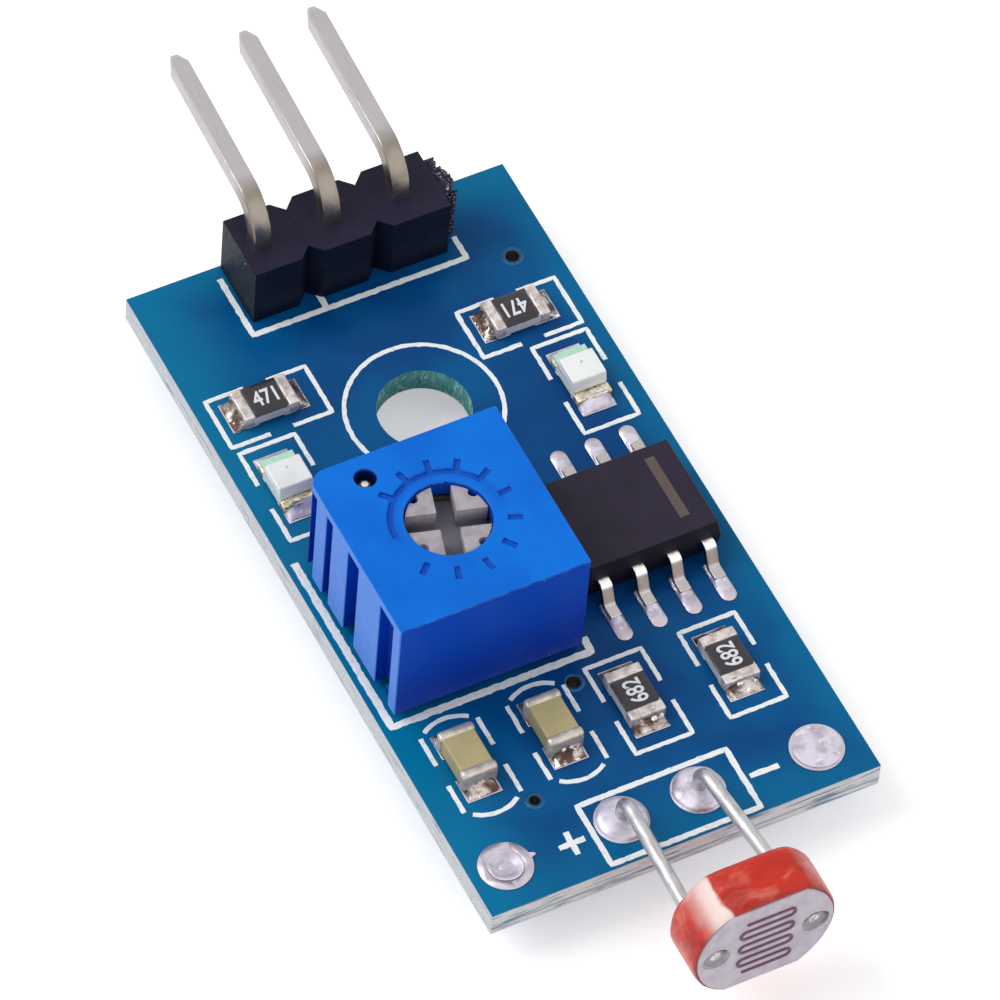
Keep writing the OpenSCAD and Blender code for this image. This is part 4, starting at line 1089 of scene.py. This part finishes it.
def digits_mesh(text, height):
    """Plain upright digits about the origin, as a thin mesh in millimetres."""
    curve = bpy.data.curves.new("digits", "FONT")
    curve.body = text
    curve.size = 1.0
    curve.align_x = "CENTER"
    curve.align_y = "CENTER"
    curve.offset = 0.016
    curve.extrude = 0.006
    curve.resolution_u = 5
    curve.space_character = 0.98
    holder = bpy.data.objects.new("digits", curve)
    bpy.context.scene.collection.objects.link(holder)
    mesh = bpy.data.meshes.new_from_object(holder.evaluated_get(bpy.context.evaluated_depsgraph_get()))
    bpy.data.objects.remove(holder)
    bpy.data.curves.remove(curve)
    lows = [min(v.co[k] for v in mesh.vertices) for k in range(3)]
    highs = [max(v.co[k] for v in mesh.vertices) for k in range(3)]
    scale = height / (highs[1] - lows[1])
    centre = Vector(((lows[0] + highs[0]) / 2, (lows[1] + highs[1]) / 2, 0.0))
    mesh.transform(Matrix.Diagonal((scale * 0.76, scale, 1.0, 1.0)) @ Matrix.Translation(-centre))
    return mesh


def close_skirt(shape, floor):
    """Closes an open height field with walls and a flat underside at floor."""
    rim = [e for e in shape.edges if e.is_boundary]
    made = bmesh.ops.extrude_edge_only(shape, edges=rim)["geom"]
    for vertex in (g for g in made if isinstance(g, bmesh.types.BMVert)):
        vertex.co.z = floor
    open_edges = [e for e in shape.edges if e.is_boundary]
    bmesh.ops.contextual_create(shape, geom=open_edges)


def end_finish(name, colour):
    """Tinned ends of the small chips: pale, soft-edged metal with a worn grain."""
    finish = Finish(name, colour, 0.4, metallic=0.5)
    cloud = finish.grain(0.3, detail=4.0)
    finish.put("Base Color", finish.mix(finish.band(cloud, 0.35, 0.7), colour, paint(176, 168, 164)))
    finish.put("Roughness", finish.sum("ADD", finish.sum("MULTIPLY", cloud, 0.25), 0.28))
    finish.bump(finish.grain(0.14, detail=4.0), 0.03)
    return finish.material


def build_ends(name, material, edge):
    """The two metal ends of a small chip, as whole rounded caps over its core."""
    low, high = box_mm(f"{name}_ends")
    lengthwise = high.y - low.y > high.x - low.x
    cap = 0.38
    film = Vector((0.015, 0.0, 0.0)) if lengthwise else Vector((0.0, 0.015, 0.0))
    low, high = low - film, high + film
    shape = bmesh.new()
    for end in (1, -1):
        if lengthwise:
            y = high.y if end > 0 else low.y
            outline = [(low.x, y), (high.x, y), (high.x, y - end * cap), (low.x, y - end * cap)]
        else:
            x = high.x if end > 0 else low.x
            outline = [(x, low.y), (x, high.y), (x - end * cap, high.y), (x - end * cap, low.y)]
        box = bmesh.new()
        add_prism(box, outline, low.z, high.z)
        bmesh.ops.recalc_face_normals(box, faces=box.faces)
        bevel_shape(box, edge, segments=4)
        mesh = bpy.data.meshes.new("cap")
        box.to_mesh(mesh)
        box.free()
        shape.from_mesh(mesh)
        bpy.data.meshes.remove(mesh)
    new_piece(f"{name}_caps", mesh_of(shape), material, replaces=(f"{name}_ends",), smooth_angle=60.0)


class LIGHTSENSOR_OT_capacitors(bpy.types.Operator):
    """Finish the two capacitors: tan ceramic bodies with rounded, dull metal ends"""
    bl_idname = "light_sensor.capacitors"
    bl_label = "Capacitors"

    def execute(self, context):
        chips = settings().chips
        finish = Finish("capacitor_ceramic", chips.dielectric, 0.42)
        colour = finish.mix(finish.band(finish.grain(0.9), 0.35, 0.7), chips.dielectric, paint(176, 164, 118))
        colour = finish.mix(finish.sum("MULTIPLY", finish.band(finish.grain(0.1), 0.6, 0.75), 0.3), colour, paint(128, 118, 88))
        finish.put("Base Color", colour)
        finish.bump(finish.grain(0.2), 0.015)
        metal = end_finish("capacitor_end_metal", paint(214, 204, 190))
        for i in (1, 2):
            dress(f"capacitor_{i}_body", finish.material)
            soften(f"capacitor_{i}_body", 0.06, segments=3)
            build_ends(f"capacitor_{i}", metal, 0.14)
        return {"FINISHED"}


class LIGHTSENSOR_OT_lamps(bpy.types.Operator):
    """Finish the two lamps: clear lens, plated ends and the green stripe on the base"""
    bl_idname = "light_sensor.lamps"
    bl_label = "Lamps"

    def execute(self, context):
        lamps = settings().lamps
        base = Finish("lamp_plate", paint(226, 232, 224), 0.5)
        base.put("Base Color", base.mix(base.grain(0.3), paint(232, 238, 230), paint(206, 218, 208)))
        base.bump(base.grain(0.1), 0.02)
        gold = Finish("lamp_end_metal", lamps.gold, 0.3, metallic=0.9)
        slits = gold.band(gold.grain(0.16, detail=3.0, stretch=(1.0, 2.6, 1.0)), 0.6, 0.64)
        gold.put("Base Color", gold.mix(slits, gold.mix(gold.band(gold.grain(0.22, detail=4.0), 0.4, 0.6), lamps.gold,
                                                        paint(238, 232, 214)), paint(70, 56, 30)))
        gold.bump(gold.grain(0.12, detail=4.0), 0.05)
        resin = Finish("lamp_resin", lamps.resin, 0.22, Coat_Weight=0.3)
        resin.put("Base Color", resin.mix(resin.band(resin.grain(0.5, detail=4.0), 0.4, 0.75), lamps.resin, paint(240, 243, 242)))
        resin.bump(resin.grain(0.2), 0.02)
        green = Finish("lamp_stripe", lamps.stripe, 0.35)
        green.put("Base Color", green.mix(green.grain(0.2), lamps.stripe, paint(214, 238, 226)))
        green.bump(green.grain(0.1), 0.02)
        die = Finish("lamp_die", paint(176, 172, 174), 0.4)
        die.put("Base Color", die.mix(die.grain(0.05), paint(226, 224, 216), paint(196, 194, 190)))
        die.bump(die.grain(0.05), 0.005)
        for i in (1, 2):
            dress(f"lamp_{i}_base", base.material)
            build_ends(f"lamp_{i}", gold.material, 0.04)
            dress(f"lamp_{i}_lens", resin.material)
            soften(f"lamp_{i}_lens", 0.06, segments=3, limit=20.0)
            self.add_stripe(i, green.material)
            self.add_die(i, die.material)
        return {"FINISHED"}

    def add_stripe(self, i, material):
        """The green end of the base beside the lens."""
        low, high = box_mm(f"lamp_{i}_base")
        lens_high = box_mm(f"lamp_{i}_lens")[1]
        shape = bmesh.new()
        top = box_mm(f"lamp_{i}_ends")[1].z
        add_prism(shape, [(low.x + 0.03, lens_high.y - 0.06), (high.x - 0.03, lens_high.y - 0.06),
                          (high.x - 0.03, high.y + 0.03), (low.x + 0.03, high.y + 0.03)], top - 0.02, top + 0.16)
        bevel_shape(shape, 0.04)
        new_piece(f"lamp_{i}_stripe", mesh_of(shape), material)

    def add_die(self, i, material):
        low, high = box_mm(f"lamp_{i}_lens")
        shape = bmesh.new()
        centre = ((low.x + high.x) / 2, (low.y + high.y) / 2 + 0.16, high.z)
        add_lathe(shape, centre, [(0.09, -0.02), (0.085, 0.002), (0.02, 0.004)], segments=20, wobble=0.02, seed=i)
        new_piece(f"lamp_{i}_die", mesh_of(shape), material)


# Light sensor

class LIGHTSENSOR_OT_sensor(bpy.types.Operator):
    """Build the dipped red coat and finish the sensor's ceramic face, meandering film and leads"""
    bl_idname = "light_sensor.sensor"
    bl_label = "Light sensor"

    def execute(self, context):
        sensor = settings().sensor
        face = Finish("sensor_face", sensor.face, 0.42)
        self.glaze = face.mix(face.band(face.grain(0.5, detail=5.0), 0.35, 0.7), sensor.face, paint(190, 180, 194))
        self.mark_dimples(face, sensor)
        face.bump(face.grain(0.12, detail=4.0), 0.02)
        dress("sensor_ceramic", face.material)
        soften("sensor_ceramic", 0.04)
        film = Finish("sensor_film", sensor.film, 0.45)
        film.put("Base Color", film.mix(film.grain(0.2), sensor.film, paint(96, 52, 84)))
        film.bump(film.grain(0.08), 0.01)
        dress("sensor_track", film.material)
        self.build_coat(sensor)
        lead = Finish("lead_plating", sensor.lead, 0.42, metallic=0.9)
        streak = lead.grain(0.12, detail=3.0, stretch=(1.0, 0.2, 1.0))
        lead.put("Base Color", lead.mix(lead.band(streak, 0.4, 0.7), sensor.lead, paint(172, 170, 176)))
        lead.put("Roughness", lead.sum("ADD", lead.sum("MULTIPLY", streak, 0.2), 0.34))
        lead.bump(streak, 0.02)
        for i in (1, 2):
            dress(f"sensor_lead_{i}", lead.material)
            soften(f"sensor_lead_{i}", 0.03)
        return {"FINISHED"}

    def mark_dimples(self, face, sensor):
        """Dull metal in the two dimples round the wire ends, with a dark arc of painted shade over each."""
        low, high = box_mm("sensor_ceramic")
        colour = self.glaze
        for i in (1, 2):
            end_low, end_high = box_mm(f"sensor_lead_{i}")
            x = end_low.x + 0.24 if i == 1 else end_high.x - 0.24
            away = face.vector("MULTIPLY", face.vector("SUBTRACT", face.place, (x, 0.0, (low.z + high.z) / 2)),
                               (1.0, 0.0, 1.0))
            radius = face.sum("ADD", face.vector("LENGTH", away), face.sum("MULTIPLY", face.grain(0.3), 0.16))
            inside = face.band(radius, 0.56, 0.5)
            colour = face.mix(inside, colour, paint(158, 152, 158))
            colour = face.mix(face.band(radius, 0.27, 0.17), colour, paint(250, 248, 248))
            # Painted shade: a dark arc over the upper part of each dimple.
            arc = face.sum("MULTIPLY", face.sum("MULTIPLY", face.band(radius, 0.34, 0.42), inside),
                           face.band(face.axis(2, away), -0.1, 0.2))
            colour = face.mix(face.sum("MULTIPLY", arc, 0.95), colour, paint(46, 42, 50))
        face.put("Base Color", colour)

    def build_coat(self, sensor):
        """A dipped coat: the disc's outline swept back from the face, rounded over behind, a little uneven."""
        low, high = box_mm("sensor_coat")
        cx, cz = (low.x + high.x) / 2, (low.z + high.z) / 2
        radius, flat = (high.x - low.x) / 2, (high.z - low.z) / 2
        wall = 0.13
        roll = 0.3
        front, back = low.y, high.y
        # inset from the outline, and depth, from inside the rim out and round to the back's middle
        profile = [(wall, front + 0.12), (wall, front + 0.02), (wall * 0.55, front), (wall * 0.2, front + 0.04),
                   (0.0, front + 0.14), (0.0, front + 0.5), (0.0, back - roll - 0.35)]
        for step in range(7):
            turn = math.radians(15 * step)
            profile.append((roll * (1 - math.cos(turn)), back - roll + roll * math.sin(turn)))
        profile += [(0.8, back), (1.6, back)]
        count = 120
        rings = []
        for inset, y in profile:
            ring = []
            for i in range(count):
                angle = 2 * math.pi * i / count
                x, z = disc_point(angle, radius - inset, flat - inset)
                place = Vector((x, y, z))
                push = sensor.ripple * (noise.fractal(place * 1.1, 1.0, 2.0, 3) * 0.5 - 0.4)
                if inset >= wall * 0.5 and y < front + 0.13:
                    push *= 0.15
                shrink = 1 + push / radius
                ring.append((cx + x * shrink, y, cz + z * shrink))
            rings.append(ring)
        shape = bmesh.new()
        add_rings(shape, rings)
        finish = Finish("sensor_resin", sensor.coat, 0.3, Specular_IOR_Level=0.25, Coat_Weight=0.08, Coat_Roughness=0.15)
        mottle = finish.band(finish.grain(0.75, detail=4.0, stretch=(0.45, 1.0, 1.0), distortion=0.5), 0.5, 0.66)
        # Painted highlight: the mask thin marks a pale patch high on the coat's left end, a little in from its edge.
        across = finish.sum("ADD", finish.axis(0), finish.sum("MULTIPLY", finish.grain(1.1, detail=2.0), 0.5))
        thin = finish.sum("MULTIPLY", finish.band(across, cx - radius + 1.5, cx - radius + 1.38),
                          finish.band(across, cx - radius + 0.45, cx - radius + 1.15))
        thin = finish.sum("MULTIPLY", thin, finish.band(finish.axis(2), cz + 0.1, cz + 1.1))
        deep = finish.band(finish.axis(1), back - 0.5, front + 0.3)
        colour = finish.mix(finish.sum("MULTIPLY", mottle, 0.55), sensor.coat, sensor.coat_pale)
        blotch = finish.band(finish.grain(0.7, detail=4.0, stretch=(0.6, 1.0, 1.0)), 0.42, 0.62)
        colour = finish.mix(finish.sum("MULTIPLY", blotch, finish.sum("ADD", finish.sum("MULTIPLY", deep, 0.45), 0.25)),
                            colour, paint(162, 24, 22))
        edge = finish.band(finish.axis(1), front + 0.12, front)
        colour = finish.mix(finish.sum("MULTIPLY", edge, 0.6), colour, paint(160, 52, 52))
        # The painted highlight on the coat's upper left.
        colour = finish.mix(finish.sum("MULTIPLY", thin, 0.9), colour, paint(252, 232, 226))
        finish.put("Base Color", colour)
        finish.bump(finish.grain(0.6, detail=2.0), 0.03)
        new_piece("sensor_dip", mesh_of(shape), finish.material, replaces=("sensor_coat",), smooth_angle=60.0)


def disc_point(angle, radius, flat):
    """A point on a disc's outline whose top and bottom are cut flat, with eased corners."""
    x, z = math.cos(angle) * radius, math.sin(angle) * radius
    ease = 0.12
    limit = flat - ease
    if abs(z) > limit:
        over = (abs(z) - limit) / max(1e-6, radius - limit)
        z = math.copysign(limit + ease * (1 - (1 - over) ** 3), z)
    return x, z


# Solder

class LIGHTSENSOR_OT_solder(bpy.types.Operator):
    """Flow the solder: fillets at the chips, puddles under the comparator's feet, domes and cones"""
    bl_idname = "light_sensor.solder"
    bl_label = "Solder"

    def execute(self, context):
        solder = settings().solder
        self.ripple = solder.ripple
        self.metal = self.solder_finish(solder)
        self.dull_metal = self.chip_solder_finish()
        for kind, part, rise in (("resistor", "core", 0.42), ("capacitor", "body", 0.5), ("lamp", "base", 0.3)):
            for i in range(1, 5 if kind == "resistor" else 3):
                self.chip_fillets(f"{kind}_{i}", f"{kind}_{i}_{part}", rise)
        for i in range(1, 9):
            self.lead_puddle(i)
        self.sensor_domes()
        self.spare_fill()
        for node in ("header_solder", "trimmer_solder"):
            dress(node, self.metal)
            weld(node)
        return {"FINISHED"}

    def solder_finish(self, solder):
        finish = Finish("solder", solder.solder, 0.42, metallic=0.55)
        cloud = finish.grain(0.6, detail=3.0, distortion=0.4)
        colour = finish.mix(finish.band(cloud, 0.4, 0.7), solder.solder, paint(180, 172, 186))
        colour = finish.mix(finish.band(finish.grain(0.3, detail=2.0), 0.62, 0.74), colour, paint(236, 232, 238))
        finish.put("Base Color", colour)
        finish.put("Roughness", finish.sum("ADD", finish.sum("MULTIPLY", cloud, 0.2), 0.34))
        finish.bump(finish.grain(0.5, detail=2.0, distortion=0.3), 0.035)
        return finish.material

    def chip_solder_finish(self):
        """Solder with brown flux in its hollows and bright corners."""
        finish = Finish("chip_solder", paint(190, 180, 176), 0.34, metallic=0.9)
        cloud = finish.band(finish.grain(0.5, detail=4.0, distortion=0.5), 0.4, 0.6)
        colour = finish.mix(cloud, paint(184, 174, 168), paint(86, 68, 60))
        bright = finish.band(finish.grain(0.3, detail=2.0), 0.6, 0.68)
        finish.put("Base Color", finish.mix(bright, colour, paint(252, 250, 246)))
        finish.put("Roughness", finish.sum("ADD", finish.sum("MULTIPLY", cloud, 0.2), 0.22))
        finish.bump(finish.grain(0.28, detail=3.0, distortion=0.3), 0.08)
        return finish.material

    def chip_fillets(self, name, node, rise):
        """Solder that climbs both ends of a chip from its lands, hollow between and uneven along its edge."""
        low, high = box_mm(node)
        lengthwise = high.y - low.y > high.x - low.x
        centre = (low + high) / 2
        half = (high.y - low.y if lengthwise else high.x - low.x) / 2
        wide = (high.x - low.x if lengthwise else high.y - low.y) / 2
        land = 0.36
        shape = bmesh.new()
        for end in (1, -1):
            grid = []
            across, out = 18, 12
            for u in range(across + 1):
                row = []
                s = -1 + 2 * u / across
                for v in range(out + 1):
                    t = v / out
                    wander = noise.noise(Vector((centre.x + s * 2.3, centre.y + end * 5.1, t * 1.5)))
                    span = wide * (1.0 - 0.04 * t + 0.05 * wander)
                    reach = half - 0.05 + (land + 0.1) * t * (1 + 0.06 * noise.noise(Vector((s * 2, centre.x, end))))
                    climb = rise * (1 - abs(s) ** 6) * (1 - t) ** 1.9
                    rim = 0.07 * (1 - abs(s) ** 10) * (1 - t ** 6)
                    lump = self.ripple * wander * (1 - t) * (1 - abs(s) ** 4) * 1.6
                    z = LAND_TOP + max(0.004, climb + rim + lump)
                    x, y = (s * span, end * reach) if lengthwise else (end * reach, s * span)
                    row.append(shape.verts.new((centre.x + x, centre.y + y, z)))
                grid.append(row)
            for u in range(across):
                for v in range(out):
                    shape.faces.new((grid[u][v], grid[u + 1][v], grid[u + 1][v + 1], grid[u][v + 1]))
        close_skirts(shape, LAND_TOP - 0.02)
        metal = self.metal if name.startswith("lamp") else self.dull_metal
        new_piece(f"{name}_fillets", mesh_of(shape), metal, smooth_angle=60.0)

    def lead_puddle(self, i):
        """A shallow pool of solder round one foot of the comparator."""
        low, high = box_mm(f"comparator_lead_{i}")
        front = i <= 4
        tip = low.y if front else high.y
        sign = -1 if front else 1
        x = (low.x + high.x) / 2
        shape = bmesh.new()
        grid = []
        across, out = 14, 20
        inner, outer = tip - sign * 0.72, tip + sign * 0.5
        for u in range(across + 1):
            row = []
            s = -1 + 2 * u / across
            for v in range(out + 1):
                t = v / out
                y = inner + (outer - inner) * t
                beyond = max(0.0, sign * (y - tip)) / 0.5
                half = 0.27 * math.sqrt(max(0.02, 1 - beyond ** 2.5)) * (1 + 0.08 * noise.noise(Vector((y * 3, i, 0))))
                hump = (1 - abs(s) ** 3) * (1 - beyond ** 2)
                toe = math.exp(-((y - tip) / 0.16) ** 2)
                heel = math.exp(-((y - inner) / 0.15) ** 2)
                z = LAND_TOP + 0.005 + hump * (0.05 + 0.09 * toe + 0.08 * heel) * (1 + 0.5 * noise.noise(Vector((x, y * 2.5, s))))
                row.append(shape.verts.new((x + s * half, y, z)))
            grid.append(row)
        for u in range(across):
            for v in range(out):
                shape.faces.new((grid[u][v], grid[u + 1][v], grid[u + 1][v + 1], grid[u][v + 1]))
        close_skirts(shape, LAND_TOP - 0.02)
        new_piece(f"comparator_puddle_{i}", mesh_of(shape), self.metal, smooth_angle=60.0)

    def sensor_domes(self):
        """Domes on the sensor's two pads and cones on their wire ends under the board."""
        low, high = box_mm("sensor_solder")
        pads_low = box_mm("pads")[0].z
        radius = (high.y - low.y) / 2
        centres = (low.x + radius, high.x - radius)
        y = (low.y + high.y) / 2
        rise = high.z - LAND_TOP
        shape = bmesh.new()
        for k, x in enumerate(centres):
            profile = [(0.2, low.z), (0.31, low.z + 0.1), (0.36, low.z + 0.35), (0.5, low.z + 0.62),
                       (radius * 0.93, pads_low - 0.02), (radius * 0.93, pads_low), (0.4, pads_low),
                       (0.4, LAND_TOP), (radius, LAND_TOP), (radius * 0.97, LAND_TOP + 0.05 * rise)]
            for step in range(1, 9):
                turn = math.radians(90 * step / 8)
                profile.append((radius * 0.97 * math.cos(turn) ** 0.8 if step < 8 else 0.04,
                                LAND_TOP + rise * (0.1 + 0.82 * math.sin(turn))))
            add_lathe(shape, (x, y, 0.0), profile, wobble=self.ripple, seed=3.0 + k)
        new_piece("sensor_joints", mesh_of(shape), self.metal, replaces=("sensor_solder",), smooth_angle=60.0)

    def spare_fill(self):
        """Solder in the two spare holes: the left one dished, with a small spur, the right one level."""
        low, high = box_mm("spare_pad_solder")
        radius = 0.6
        shape = bmesh.new()
        left = (low.x + radius, low.y + radius + 0.09)
        right = (high.x - radius, high.y - radius - 0.09)
        left = (-5.75, -17.29)
        right = (5.45, -17.38)
        dish = [(0.02, low.z), (radius, low.z), (radius, LAND_TOP + 0.015), (0.55, LAND_TOP + 0.03),
                (0.47, LAND_TOP - 0.02), (0.38, LAND_TOP - 0.1), (0.25, LAND_TOP - 0.14), (0.02, LAND_TOP - 0.15)]
        add_lathe(shape, (*left, 0.0), dish, wobble=0.02, seed=1.3)
        level = [(0.02, low.z), (radius, low.z), (radius + 0.2, LAND_TOP - 0.01), (radius + 0.22, LAND_TOP + 0.02),
                 (radius, LAND_TOP + 0.05), (0.3, LAND_TOP + 0.07), (0.02, LAND_TOP + 0.075)]
        add_lathe(shape, (*right, 0.0), level, wobble=0.03, seed=4.1)
        add_prism(shape, [(left[0] + 0.86, left[1] - 0.1), (left[0] + 1.08, left[1] - 0.02),
                          (left[0] + 1.06, left[1] + 0.05), (left[0] + 0.86, left[1] + 0.14)],
                  BOARD_TOP - 0.01, LAND_TOP + 0.01)
        new_piece("spare_pad_fill", mesh_of(shape), self.metal, replaces=("spare_pad_solder",), smooth_angle=50.0)


def weld(node):
    """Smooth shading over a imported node's facets."""
    piece = NODES[node]
    joined = piece.modifiers.new("Joined corners", "WELD")
    joined.merge_threshold = 1e-7
    shade = piece.modifiers.new("Even shading", "WEIGHTED_NORMAL")
    shade.keep_sharp = False


def close_skirts(shape, floor):
    """Closes each separate height field of a bmesh with walls and a flat underside."""
    rim = [e for e in shape.edges if e.is_boundary]
    made = bmesh.ops.extrude_edge_only(shape, edges=rim)["geom"]
    for vertex in (g for g in made if isinstance(g, bmesh.types.BMVert)):
        vertex.co.z = floor
    bmesh.ops.holes_fill(shape, edges=[e for e in shape.edges if e.is_boundary], sides=0)


# Panel and registration

STEPS = (LIGHTSENSOR_OT_stage, LIGHTSENSOR_OT_board, LIGHTSENSOR_OT_print, LIGHTSENSOR_OT_header,
         LIGHTSENSOR_OT_trimmer, LIGHTSENSOR_OT_comparator, LIGHTSENSOR_OT_resistors,
         LIGHTSENSOR_OT_capacitors, LIGHTSENSOR_OT_lamps, LIGHTSENSOR_OT_sensor, LIGHTSENSOR_OT_solder)


class LIGHTSENSOR_PT_pieces(bpy.types.Panel):
    """Steps that dress the light sensor module"""
    bl_idname = "LIGHTSENSOR_PT_pieces"
    bl_label = "Light Sensor Module"
    bl_space_type = "VIEW_3D"
    bl_region_type = "UI"
    bl_category = "Light Sensor"

    def draw(self, context):
        column = self.layout.column(align=True)
        for step in STEPS:
            column.operator(step.bl_idname)


GROUPS = (StageSettings, BoardSettings, HeaderSettings, TrimmerSettings, ChipSettings, SolderSettings,
          LampSettings, SensorSettings, ModuleSettings)


def register():
    for kind in (*GROUPS, *STEPS, LIGHTSENSOR_PT_pieces):
        bpy.utils.register_class(kind)
    bpy.types.Scene.light_sensor_module = PointerProperty(type=ModuleSettings)


def unregister():
    del bpy.types.Scene.light_sensor_module
    for kind in reversed((*GROUPS, *STEPS, LIGHTSENSOR_PT_pieces)):
        bpy.utils.unregister_class(kind)


def main():
    register()
    for step in STEPS:
        group, name = step.bl_idname.split(".")
        getattr(getattr(bpy.ops, group), name)()


if __name__ == "__main__":
    main()
